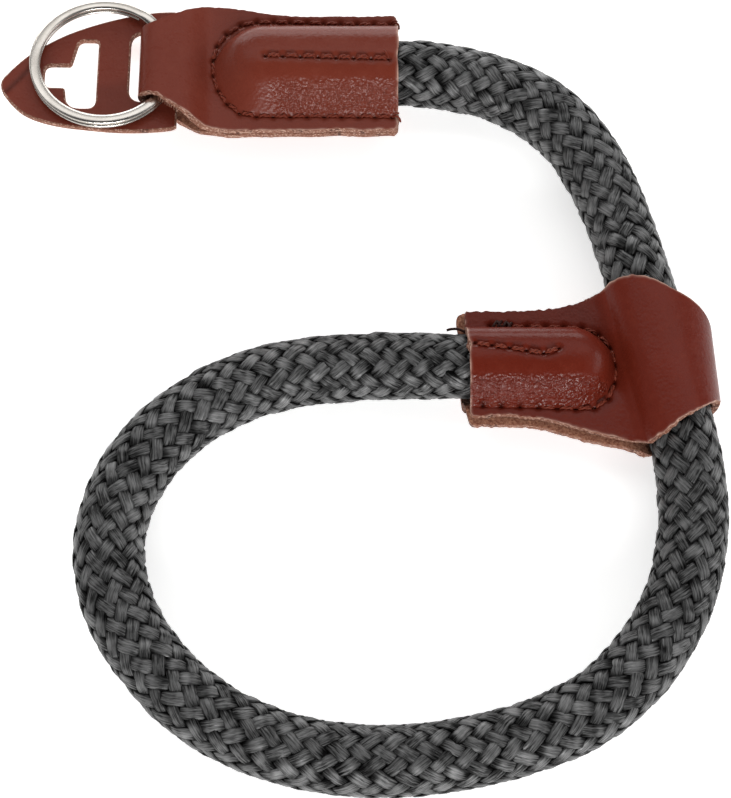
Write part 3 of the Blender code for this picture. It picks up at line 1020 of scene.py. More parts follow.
# Outlines in rows of along, south and north, as shares of the length and the half width
ANCHOR_OUTLINE = (
    (0.00, -1.00, 0.885), (0.41, -1.01, 0.885), (0.51, -1.02, 0.92), (0.61, -1.02, 0.99),
    (0.70, -1.01, 1.04), (0.75, -0.99, 1.05), (0.78, -0.95, 1.02), (0.82, -0.85, 0.96),
    (0.89, -0.66, 0.84), (0.95, -0.51, 0.74), (1.00, -0.47, 0.70),
)
SLIDER_OUTLINE = (
    (0.00, -0.65, 0.67), (0.14, -0.64, 0.68), (0.26, -0.68, 0.69), (0.38, -0.79, 0.76),
    (0.48, -0.91, 0.84), (0.55, -1.00, 0.90), (0.60, -1.01, 0.94), (0.68, -0.95, 0.98),
    (0.77, -0.77, 0.95), (0.84, -0.65, 0.81), (0.90, -0.56, 0.68), (0.975, -0.47, 0.47),
    (1.00, -0.46, 0.44),
)
TAB_OUTLINE = (
    (0.00, -0.98, 0.93), (0.03, -1.01, 0.99), (0.19, -1.00, 1.01), (0.36, -0.94, 0.96),
    (0.52, -0.85, 0.87), (0.64, -0.77, 0.77), (0.76, -0.65, 0.62), (0.85, -0.51, 0.47),
    (0.92, -0.33, 0.29), (0.97, -0.15, 0.12),
)

# Stitch lines in millimetres in plan, from where the thread starts
ANCHOR_SEAM = (
    (7.4, 38.6), (-2.0, 38.85), (-11.0, 39.1), (-17.7, 39.15), (-20.8, 38.4), (-22.8, 37.0),
    (-24.6, 35.0), (-25.6, 32.4), (-25.8, 29.0), (-25.0, 25.7), (-23.6, 23.0), (-21.3, 20.7),
    (-18.0, 19.7), (-5.0, 19.6), (7.6, 19.5),
)
ANCHOR_MIDDLE_SEAM = ((-15.8, 28.9), (-4.0, 28.6), (7.0, 28.3))
SLIDER_SEAM = (
    (25.0, -22.3), (33.0, -22.5), (41.6, -22.8), (44.6, -24.1), (46.4, -26.6), (47.0, -30.0),
    (46.9, -33.0), (46.0, -35.5), (43.9, -37.6), (39.2, -37.9), (33.0, -37.5), (23.4, -37.1),
)
SLIDER_MIDDLE_SEAM = ((21.9, -27.9), (27.7, -28.8), (33.3, -29.7), (35.4, -29.8), (36.7, -28.9))

# The rope's free routes along its centre line, in millimetres
ARM_ROUTE = (
    (9.5, 29.4, 7.65), (17.0, 29.2, 6.7), (24.0, 28.0, 6.0), (31.5, 25.2, 6.0),
    (38.6, 20.0, 6.0), (43.9, 12.6, 6.0), (47.7, 4.2, 6.0), (50.3, -5.0, 6.3),
    (52.1, -12.5, 7.6),
)
LOOP_ROUTE = (
    (59.8, -48.2, 6.8), (60.2, -56.5, 6.0), (58.9, -66.0, 6.0), (54.9, -76.2, 6.0),
    (48.0, -85.6, 6.0), (38.8, -92.6, 6.0), (28.0, -96.7, 6.0), (16.5, -99.2, 6.0),
    (5.0, -100.1, 6.0), (-6.5, -99.0, 6.0), (-17.5, -95.6, 6.0), (-27.5, -89.7, 6.0),
    (-35.4, -81.2, 6.0), (-40.7, -71.6, 6.0), (-42.2, -61.0, 6.0), (-39.4, -50.8, 6.0),
    (-33.6, -42.3, 6.0), (-25.2, -35.6, 6.0), (-15.5, -31.3, 6.0), (-5.0, -29.3, 6.0),
    (5.0, -28.9, 6.2), (13.5, -29.0, 7.1),
)


@dataclass
class NeckSizes:
    """The anchor's neck and what is threaded on it, shared by the anchor, ring and tab."""

    mouth_x: float = 8.7 * MM
    axis_y: float = 29.4 * MM
    length: float = 48.3 * MM
    half_width: float = 12.5 * MM
    seam_half: float = 9.6 * MM
    neck_length: float = 13.9 * MM
    closing: float = 7.2 * MM
    slack: float = 1.0 * MM
    ring_diameter: float = 27.6 * MM
    ring_band: float = 2.0 * MM
    ring_wire: float = 0.95 * MM
    ring_turn_gap: float = 0.15 * MM
    ring_past_fold: float = 6.6 * MM
    ring_north: float = 1.3 * MM
    lean_start: float = 17.6 * MM
    lean_full: float = 8.0 * MM
    pitch: float = math.radians(2.5)
    roll: float = math.radians(6.0)

    def __post_init__(self) -> None:
        """Work out what follows from the sizes."""
        # Outside of the fold, and tip of the sewn seam, where the neck starts
        self.fold_x = self.mouth_x - self.length
        self.seam_tip_x = self.fold_x + self.neck_length
        # Both turns of the ring, and the clear height inside the fold
        self.ring_height = 2 * self.ring_wire + self.ring_turn_gap
        self.opening = LEATHER + self.ring_height + 2 * PIECE_GAP + self.slack
        # Radius of the fold's middle, and where its round starts
        self.radius = (self.opening + LEATHER) / 2
        self.centre_x = self.fold_x + LEATHER / 2 + self.radius
        # Heights of the tab's and the ring's middle over the seam plane
        self.tab_middle = -self.opening / 2 + PIECE_GAP + LEATHER / 2
        self.ring_middle = self.tab_middle + LEATHER / 2 + PIECE_GAP + self.ring_height / 2
        # The ring's centre in plan, and where the neck has opened fully, just past the ring
        self.ring_centre = (self.fold_x - self.ring_past_fold, self.axis_y + self.ring_north)
        self.open_x = self.ring_centre[0] + self.ring_diameter / 2 + PIECE_GAP

    def lean(self, x: float, y: float) -> float:
        """How far the neck, the ring and the tab are lifted at a place in plan.

        Args:
            x: Place in plan.
            y: Place in plan.

        Returns:
            The lift in metres.
        """
        start = self.fold_x + self.lean_start
        run = self.lean_start - self.lean_full
        share = (start - x) / run
        if share <= 0.0:
            return 0.0
        lift = run * share * share / 2 if share < 1.0 else run / 2 + (start - run - x)
        rolled = smooth(share) * (y - self.axis_y)
        return lift * math.tan(self.pitch) - rolled * math.tan(self.roll)


@dataclass
class Anchor(LeatherStrip):
    """The sewn end that holds the ring: sleeve to the right, folded neck to the left."""

    name: str = "anchor_strip"
    node: str = "anchor_leather"
    facing: float = -1.0
    neck: NeckSizes = field(default_factory=NeckSizes)
    flat_steps: int = 165
    fold_steps: int = 26
    crowding: float = 0.08
    mouth_share: float = 0.04
    grain_run: float = 4.0 * MM

    def __post_init__(self) -> None:
        """Take the sleeve's sizes from the neck's and lay its seams."""
        self.axis_y = self.neck.axis_y
        self.seam_half = self.neck.seam_half
        self.seam_tip_x = self.neck.seam_tip_x
        self.seams = [Seam(ANCHOR_SEAM), Seam(ANCHOR_MIDDLE_SEAM, groove=0.3 * MM)]

    def stations(self) -> list[Station]:
        """Cross lines from the upper mouth, round the fold, to the lower mouth.

        Returns:
            The cross lines, a little closer where the neck closes.
        """
        neck = self.neck
        upper = []
        for step in range(self.flat_steps + 1):
            share = step / self.flat_steps
            share += self.crowding * math.sin(math.pi * share)
            x = neck.mouth_x + (neck.centre_x - neck.mouth_x) * share
            opened = gentle((neck.open_x + neck.closing - x) / neck.closing)
            upper.append(Station(x, FLAT_HEIGHT + (neck.radius - FLAT_HEIGHT) * opened, 1.0))
        fold = []
        for step in range(1, self.fold_steps):
            angle = math.pi / 2 + math.pi * step / self.fold_steps
            x = neck.centre_x + neck.radius * math.cos(angle)
            fold.append(Station(x, neck.radius * math.sin(angle), 0.0))
        return upper + fold + [line._replace(layer=-1.0) for line in reversed(upper)]

    def plan(self, station: Station, across: float) -> Pair:
        """Place in plan of a point on a cross line.

        Args:
            station: The cross line.
            across: Share of the width, 0 south and 1 north.

        Returns:
            Its x and y.
        """
        along = (self.neck.mouth_x - station.x) / (self.neck.length - LEATHER / 2)
        south, north = table_edges(ANCHOR_OUTLINE, along)
        mouth, edge = self.uneven(station, across)
        x = station.x + mouth * max(1.0 - along / self.mouth_share, 0.0)
        y = self.axis_y + self.neck.half_width * (south + (north - south) * across) + edge
        return x, y

    def lean(self, x: float, y: float) -> float:
        """How far the neck is lifted at a place in plan."""
        return self.neck.lean(x, y)

    def grain(self, x: float, y: float) -> float:
        """How far the grain has opened: beside the rope, but not round its end."""
        return super().grain(x, y) * smooth((x - self.capsule_end) / self.grain_run)


@dataclass
class Slider(LeatherStrip):
    """The bow tie that wraps the standing rope and holds the second rope end."""

    name: str = "slider_strip"
    node: str = "slider_leather"
    axis_y: float = -29.6 * MM
    seam_half: float = 7.8 * MM
    seam_tip_x: float = 47.0 * MM
    north_ease: float = 1.3 * MM
    nibble: float = 0.3 * MM
    scuffed_north: float = 0.46
    mouth_x: float = 21.2 * MM
    half_width: float = 15.0 * MM
    valley: float = 1.0 * MM
    valley_soft: float = 1.9 * MM
    valley_rise: float = 4.0 * MM
    fold_slack: float = 0.15
    mouth_slant: float = 1.0 * MM
    mouth_share: float = 0.17
    mouth_uneven: float = 0.7
    underlap: float = 1.2 * MM
    underlap_full: float = 0.40
    underlap_end: float = 0.73
    underlap_corner: float = 0.25
    standing_x: float = 55.9 * MM
    standing_slant: float = math.radians(12.6)
    flat_steps: int = 92
    straight_steps: int = 10
    arc_steps: int = 52

    def __post_init__(self) -> None:
        """Lay the seams."""
        middle = Seam(SLIDER_MIDDLE_SEAM, pitch=3.0 * MM, groove=0.3 * MM)
        self.seams = [Seam(SLIDER_SEAM), middle]

    def standing_axis(self, y: float) -> float:
        """x of the standing rope's axis inside the slider at a given y."""
        return self.standing_x - (y - self.axis_y) * math.tan(self.standing_slant)

    def stations(self) -> list[Station]:
        """Cross lines from the upper mouth, round the fold, to the lower mouth.

        Each layer runs flat to the valley, then straight up to the standing rope and round it.

        Returns:
            The cross lines.
        """
        valley_x = self.seam_tip_x + self.valley
        side = math.cos(self.standing_slant)
        seam = (self.standing_x - valley_x) * side
        reach = math.hypot(seam, FLAT_HEIGHT)
        turn = math.pi - math.atan2(FLAT_HEIGHT, seam) - math.acos(min(BULGE_RADIUS / reach, 1.0))
        straight = math.sqrt(max(reach ** 2 - BULGE_RADIUS ** 2, 0.0))
        flat = valley_x - self.mouth_x
        arc = BULGE_RADIUS * turn
        total = flat + straight + arc
        upper = []
        for step in range(self.flat_steps):
            share = step / self.flat_steps
            x = self.mouth_x + flat * share
            slant = smooth((x - valley_x + flat / 3) / (flat / 3))
            upper.append(Station(x, FLAT_HEIGHT, 1.0, flat * share / total, slant))
        turn_x = BULGE_RADIUS * math.cos(turn)
        turn_z = BULGE_RADIUS * math.sin(turn)
        for step in range(self.straight_steps):
            share = step / self.straight_steps
            x = self.standing_x + (-seam + (turn_x + seam) * share) / side
            height = FLAT_HEIGHT + (turn_z - FLAT_HEIGHT) * share
            upper.append(Station(x, height, 1.0, (flat + straight * share) / total, 1.0))
        for step in range(self.arc_steps):
            angle = turn * (1.0 - step / self.arc_steps)
            run = (flat + straight + arc * step / self.arc_steps) / total
            x = self.standing_x + BULGE_RADIUS * math.cos(angle) / side
            upper.append(Station(x, BULGE_RADIUS * math.sin(angle), 1.0, run, 1.0))
        upper = self.soften(upper)
        fold = Station(self.standing_x + BULGE_RADIUS / side, 0.0, 1.0, 1.0, 1.0)
        return [*upper, fold, *(line._replace(layer=-1.0) for line in reversed(upper))]

    def soften(self, stations: Sequence[Station]) -> list[Station]:
        """Round out the valley between the seam and the standing rope.

        Args:
            stations: The cross lines of one layer.

        Returns:
            The same lines, the valley's ones lifted.
        """
        places = np.array([station.x for station in stations])
        heights = np.array([station.height for station in stations])
        softened = []
        for station in stations:
            weights = np.exp(-(((places - station.x) / self.valley_soft) ** 2) / 2)
            weights *= np.gradient(places)
            lifted = float((heights * weights).sum() / weights.sum())
            kept = gentle((station.height - FLAT_HEIGHT) / self.valley_rise)
            if station.x > self.standing_x:
                kept = 1.0
            softened.append(station._replace(height=lifted + (station.height - lifted) * kept))
        return softened

    def plan(self, station: Station, across: float) -> Pair:
        """Place in plan of a point on a cross line.

        The lower layer shows past the upper one to the south and at the mouth.

        Args:
            station: The cross line.
            across: Share of the width, 0 south and 1 north.

        Returns:
            Its x and y.
        """
        south, north = table_edges(SLIDER_OUTLINE, station.run)
        south *= self.half_width
        north *= self.half_width
        overhang = self.mouth_slant * across ** 2
        if station.layer < 0.0:
            fade = (self.underlap_end - station.run) / (self.underlap_end - self.underlap_full)
            south -= self.underlap * smooth(fade)
            overhang += self.underlap * smooth(across / self.underlap_corner)
        mouth, edge = self.uneven(station, across)
        overhang += self.mouth_uneven * mouth
        y = self.axis_y + south + (north - south) * across + edge
        reach = (station.x - self.standing_x) / BULGE_RADIUS
        x = station.x + station.slant * (self.standing_axis(y) - self.standing_x)
        slack_start = self.axis_y - self.half_width / 2
        x += self.fold_slack * max(reach, 0.0) ** 2 * max(y - slack_start, 0.0)
        return x - overhang * smooth(1.0 - station.run / self.mouth_share), y


@dataclass
class Stitching:
    """The threads of a sleeve: two twisted plies in a short arc from hole to hole."""

    strip: LeatherStrip
    finish: Material
    ply_radius: float = 0.21 * MM
    ply_offset: float = 0.18 * MM
    ply_flatness: float = 0.7
    gathered: float = 0.55
    margin: float = 0.15
    steepness: float = 2.4
    wander: float = 0.16 * MM
    proud: float = 0.08 * MM
    slack: float = 0.1 * MM
    dive: float = 0.95 * MM
    unlike: Pair = (1.7, 9.0)
    steps: int = 14

    def arc(self, start: Vector, end: Vector, layer: float, ply: int, key: float) -> list[Vector]:
        """One ply of one stitch.

        Args:
            start: The hole that it comes out of, in plan.
            end: The hole that it goes into.
            layer: 1 for the upper face, -1 for the underside.
            ply: 0 or 1.
            key: Number that makes its small unevenness its own.

        Returns:
            The ply's points.
        """
        side = (end - start).normalized().cross(Vector((0, 0, 1)))
        wander = noise.noise(Vector((key, layer, 0.3))) * self.wander
        loose = 0.7 + 0.6 * noise.noise(Vector((key, layer, 5.3)))
        points = []
        for step in range(self.steps + 1):
            share = step / self.steps
            bow = math.sin(math.pi * share)
            spot = start.lerp(end, self.margin + (1 - 2 * self.margin) * share)
            spot = spot + side * wander * bow
            lift = min(bow * self.steepness, 1.0)
            turn = 2 * math.pi * (share + ply / 2) + key
            offset = self.ply_offset * (self.gathered + (1 - self.gathered) * lift)
            face = self.strip.outer_height(spot.x, spot.y, layer)
            sunk = self.dive * (1.0 - lift) - self.proud - self.slack * loose * bow
            z = face - layer * sunk + offset * self.ply_flatness * math.sin(turn)
            if layer < 0.0:
                z = max(z, self.ply_radius)
            place = spot + side * offset * math.cos(turn)
            points.append(Vector((place.x, place.y, z)))
        return points

    def build(self) -> None:
        """Sweep every arc into one piece of thread."""
        arcs = []
        for seam in self.strip.seams:
            for layer in (1.0, -1.0):
                for index, (start, end) in enumerate(zip(seam.holes, seam.holes[1:])):
                    key = self.unlike[0] * index + self.unlike[1] * len(seam.holes)
                    arcs += [self.arc(start, end, layer, ply, key) for ply in (0, 1)]
        name = self.strip.name.replace("strip", "stitches")
        sweep_threads(name, arcs, self.ply_radius, self.finish)


@dataclass
class SplitRing:
    """A flat split ring: two turns of rounded flat wire, joined by a jog."""

    neck: NeckSizes
    finish: Material
    squareness: float = 0.85
    sides: int = 32
    jog_start: float = math.radians(35.0)
    jog: float = math.radians(24.0)
    steps: int = 300

    def section(self) -> list[Vector]:
        """The wire's flattened, softly domed section.

        Returns:
            The points round it.
        """
        outline = []
        for step in reversed(range(self.sides)):
            angle = 2 * math.pi * step / self.sides
            spread = abs(math.cos(angle)) ** self.squareness
            rise = abs(math.sin(angle)) ** self.squareness
            outline.append(Vector((
                math.copysign(self.neck.ring_band / 2 * spread, math.cos(angle)),
                math.copysign(self.neck.ring_wire / 2 * rise, math.sin(angle)),
            )))
        return outline

    def route(self) -> list[Vector]:
        """The wire's centre line about the ring's own centre.

        Returns:
            Its points, two turns less the jog's own arc.
        """
        radius = (self.neck.ring_diameter - self.neck.ring_band) / 2
        climb = self.neck.ring_wire + self.neck.ring_turn_gap
        start = self.jog_start + self.jog
        end = self.jog_start + 4 * math.pi
        points = []
        for step in range(self.steps + 1):
            angle = start + (end - start) * step / self.steps
            z = climb * (smooth((angle - 2 * math.pi - self.jog_start) / self.jog) - 0.5)
            points.append(Vector((radius * math.cos(angle), radius * math.sin(angle), z)))
        return points

    def build(self) -> None:
        """Sweep the section round, then lay the ring on the tab."""
        deselect_all()
        profile = bpy.data.curves.new("ring_section", "CURVE")
        add_run(profile, self.section(), closed=True)
        guide = new_object("ring_section", profile)
        curve = set_up(
            bpy.data.curves.new("split_ring_wire", "CURVE"), dimensions="3D",
            twist_mode="Z_UP", bevel_mode="OBJECT", bevel_object=guide, use_fill_caps=True,
        )
        add_run(curve, self.route())
        curve.materials.append(self.finish)
        ring = new_object("split_ring_wire", curve)
        x, y = self.neck.ring_centre
        ring.location = (x, y, SEAM_PLANE_Z + self.neck.ring_middle + self.neck.lean(x, y))
        ring.rotation_euler = (-self.neck.roll, self.neck.pitch, 0.0)
        ring = as_mesh(ring)
        bpy.ops.object.transform_apply(location=True, rotation=True, scale=True)
        bpy.ops.object.shade_smooth_by_angle(angle=math.radians(60))
        bpy.data.objects.remove(guide)
        hand_over(ring, "nickel_plated_steel", "split_ring")


@dataclass
class ProtectorTab:
    """The leaf-shaped tab under the ring, with its slot and its T-shaped cutout."""

    neck: NeckSizes
    finishes: Sequence[Material]
    length: float = 33.2 * MM
    half_width: float = 13.0 * MM
    bridge: float = 4.3 * MM
    swing: float = math.radians(8.0)
    curl: float = 0.9 * MM
    curl_length: float = 5.0 * MM
    held: float = 4.0 * MM
    held_run: float = 6.0 * MM
    slot_ease: float = 0.4 * MM
    slot_left_room: float = 1.9 * MM
    slot_round: float = 2.8 * MM
    cutout_from_slot: float = 6.0 * MM
    bar: float = 4.9 * MM
    bar_height: float = 15.0 * MM
    bar_shift: float = -0.4 * MM
    stem: float = 4.9 * MM
    stem_height: float = 5.0 * MM
    stem_shift: float = -1.0 * MM
    south_room: float = 1.0 * MM
    edge_round: float = 0.3 * MM
    cell: float = 0.42 * MM
    cell_shift: float = 0.003 * MM
    level_normal: float = 0.92
    steps: int = 60
    crease: Sequence[Pair] = ((-59.6, 30.8), (-61.8, 27.7), (-64.2, 24.4))
    crease_width: float = 0.5 * MM
    crease_depth: float = 0.2 * MM
    crease_painted_shade: float = 0.5
    waves_length: float = 8.0 * MM
    waves_height: float = 0.12 * MM

    def __post_init__(self) -> None:
        """Lay the crease that use has left across the tip, and the end inside the neck."""
        self.crease_tree = plan_tree(route_mm(self.crease, 0.2 * MM))
        self.end_x = self.neck.open_x - PIECE_GAP

    def leaf(self) -> list[Vector]:
        """The leaf's outline, its south edge first.

        Returns:
            Its points in plan.
        """
        edges: tuple[list[Vector], list[Vector]] = ([], [])
        for step in range(self.steps + 1):
            along = TAB_OUTLINE[-1][0] * step / self.steps
            x = self.end_x - along * self.length
            middle = self.neck.ring_centre[1] - along * self.length * math.tan(self.swing)
            for edge, share in zip(edges, table_edges(TAB_OUTLINE, along)):
                edge.append(Vector((x, middle + share * self.half_width)))
        south, north = edges
        tip_y = self.neck.ring_centre[1] - self.length * math.tan(self.swing)
        corner = Vector((self.end_x - self.length, tip_y))
        tip = [corner_point(south[-1], corner, north[-1], share) for share in (0.25, 0.5, 0.75)]
        return south + tip + north[::-1]

    def slot(self) -> list[Vector]:
        """The slot that the neck passes through.

        Returns:
            Its points in plan.
        """
        fold_south, fold_north = table_edges(ANCHOR_OUTLINE, 1.0)
        south = self.neck.axis_y + fold_south * self.neck.half_width - self.slot_ease
        north = self.neck.axis_y + fold_north * self.neck.half_width + self.slot_ease
        left = self.neck.fold_x - self.slot_left_room
        right = self.end_x - self.bridge
        wide, small = self.slot_round, self.slot_round / 7
        return rounded_corners(
            [(left, south, wide), (right, south, small), (right, north, small),
             (left, north, wide)], 6
        )

    def cutout(self) -> list[Vector]:
        """The T-shaped cutout, its bar towards the neck and its stem towards the tip.

        Returns:
            Its points in plan.
        """
        near_x = self.neck.fold_x - self.slot_left_room - self.cutout_from_slot
        far = near_x - self.bar
        stem_far = far - self.stem
        bar_south = self.neck.axis_y + self.bar_shift - self.bar_height / 2
        bar_north = bar_south + self.bar_height
        stem_south = self.neck.axis_y + self.stem_shift - self.stem_height / 2
        stem_north = stem_south + self.stem_height
        corners = (
            (near_x, bar_south, 0.38 * self.bar),
            (near_x, bar_north, 0.20 * self.bar),
            (far + 0.25 * self.bar, bar_north, 0.30 * self.bar),
            (far, stem_north, 0.15 * self.bar),
            (stem_far, stem_north, 0.30 * self.stem),
            (stem_far, stem_south, 0.30 * self.stem),
            (far - self.south_room, stem_south, 0.12 * self.bar),
            (far - 0.5 * self.south_room, bar_south, 0.58 * self.bar),
        )
        return rounded_corners(corners, 7)

    @staticmethod
    def inset(outline: Sequence[Vector], distance: float) -> list[Vector]:
        """Move a closed outline inwards, or outwards for a negative distance.

        Args:
            outline: Points in plan.
            distance: How far to move each point towards the inside.

        Returns:
            The moved points.
        """
        before = [outline[-1], *outline[:-1]]
        after = [*outline[1:], outline[0]]
        area = sum(one.x * two.y - two.x * one.y for one, two in zip(before, outline))
        turn = 1.0 if area > 0 else -1.0
        moved = []
        for first, point, last in zip(before, outline, after):
            along = (last - first).normalized()
            moved.append(point + Vector((-along.y, along.x)) * turn * distance)
        return moved

    def shell(self) -> Object:
        """Fill the flat caps and wall the cuts with rounded edges.

        Returns:
            The flat leaf, its caps and walls not yet merged.
        """
        half = LEATHER / 2
        r = self.edge_round
        rim = [(r, half), (0.3 * r, half - 0.3 * r), (0.0, half - r)]
        rim += [(inset, -height) for inset, height in reversed(rim)]
        deselect_all()
        curve = set_up(
            bpy.data.curves.new("tab_caps", "CURVE"), dimensions="2D", fill_mode="BOTH",
            extrude=half,
        )
        verts: list[Triple] = []
        faces: list[tuple[int, ...]] = []
        for outline, inwards in ((self.leaf(), 1.0), (self.slot(), -1.0), (self.cutout(), -1.0)):
            rows = [self.inset(outline, inwards * inset) for inset, _ in rim]
            add_run(curve, rows[0], closed=True)
            faces += tube_faces(len(verts), len(rim), len(outline), capped=False)
            for row, (_, height) in zip(rows, rim):
                verts += [(place.x, place.y, height) for place in row]
        caps = as_mesh(new_object("tab_caps", curve))
        on_walls = [face.index for face in caps.data.polygons if abs(face.normal.z) < 0.5]
        with edit_mode():
            bpy.ops.mesh.select_mode(type="FACE")
            bpy.ops.mesh.select_all(action="DESELECT")
        for index in on_walls:
            caps.data.polygons[index].select = True
        with edit_mode():
            bpy.ops.mesh.delete(type="ONLY_FACE")
        walls = bpy.data.meshes.new("tab_walls")
        walls.from_pydata(verts, [], faces)
        select_only(caps)
        new_object("tab_walls", walls).select_set(True)
        bpy.ops.object.join()
        return bpy.context.object

    def build(self) -> None:
        """Cut a lattice into the flat leaf, name its sides and bend it."""
        tab = self.shell()
        tab.name = tab.data.name = "tab_leaf"
        with edit_mode():
            bpy.ops.mesh.select_all(action="SELECT")
            bpy.ops.mesh.remove_doubles(threshold=0.01 * MM)
            self.cut_lattice(tab)
            bpy.ops.mesh.select_all(action="SELECT")
            bpy.ops.mesh.normals_make_consistent(inside=False)
        for finish in self.finishes:
            tab.data.materials.append(finish)
        for face in tab.data.polygons:
            upwards = face.normal.z
            level = Side.GRAIN if upwards > 0.0 else Side.FLESH
            side = level if abs(upwards) > self.level_normal else Side.EDGE
            face.material_index = side.value
        for vertex in tab.data.vertices:
            vertex.co = self.bend(vertex.co)
        places = [vertex.co for vertex in tab.data.vertices]
        # Painted shade: the crease is darkened along its line through the finish's shade attribute
        crease_shade = [self.crease_painted_shade * self.crease_share(place) for place in places]
        whole = [0.0] * len(places)
        keep_values(tab.data, hole=crease_shade, grain=whole, scuff=whole)
        select_only(tab)
        bpy.ops.object.shade_smooth_by_angle(angle=math.radians(35))
        hand_over(tab, "red_brown_leather", "protector_tab")

    def cut_lattice(self, tab: Object) -> None:
        """Cut the flat leaf along x and y so that it can bend.

        Args:
            tab: The leaf, in edit mode.
        """
        places = [vertex.co for vertex in tab.data.vertices]
        for axis in (0, 1):
            low = min(place[axis] for place in places)
            high = max(place[axis] for place in places)
            cuts = round((high - low) / self.cell)
            for cut in range(1, cuts):
                at = [0.0, 0.0, 0.0]
                facing = [0.0, 0.0, 0.0]
                at[axis] = low + (high - low) * cut / cuts + self.cell_shift
                facing[axis] = 1.0
                bpy.ops.mesh.select_all(action="SELECT")
                bpy.ops.mesh.bisect(plane_co=at, plane_no=facing)

    def crease_share(self, place: Vector) -> float:
        """How far a place lies in the crease across the tip: 1 in its middle, 0 off it."""
        return near(away(self.crease_tree, place.x, place.y), self.crease_width)

    def bend(self, place: Vector) -> Vector:
        """Lift a point of the flat leaf to where the bent one has it.

        Args:
            place: The point on the flat leaf.

        Returns:
            The point on the bent leaf.
        """
        x, y = place.x, place.y
        curl_start = self.end_x - self.length + self.curl_length
        curl = max((curl_start - x) / self.curl_length, 0.0) ** 2 * self.curl
        free = smooth((self.end_x - self.held - x) / self.held_run)
        wave = ripple(Vector((x, y, 0.0)), self.waves_length, self.waves_height) * free
        lift = SEAM_PLANE_Z + self.neck.tab_middle + self.neck.lean(x, y)
        dent = self.crease_depth * self.crease_share(place)
        return Vector((x, y, place.z + lift + curl + wave - dent))


class CentreLine(NamedTuple):
    """The rope's centre line: distances along it, centres and two directions across it."""

    reach: np.ndarray
    centre: np.ndarray
    across: np.ndarray
    beside: np.ndarray

    def read(self, along: np.ndarray, rows: np.ndarray) -> np.ndarray:
        """Rows that belong to the line, read at distances along it."""
        return np.stack([np.interp(along, self.reach, rows[:, k]) for k in range(3)], axis=1)


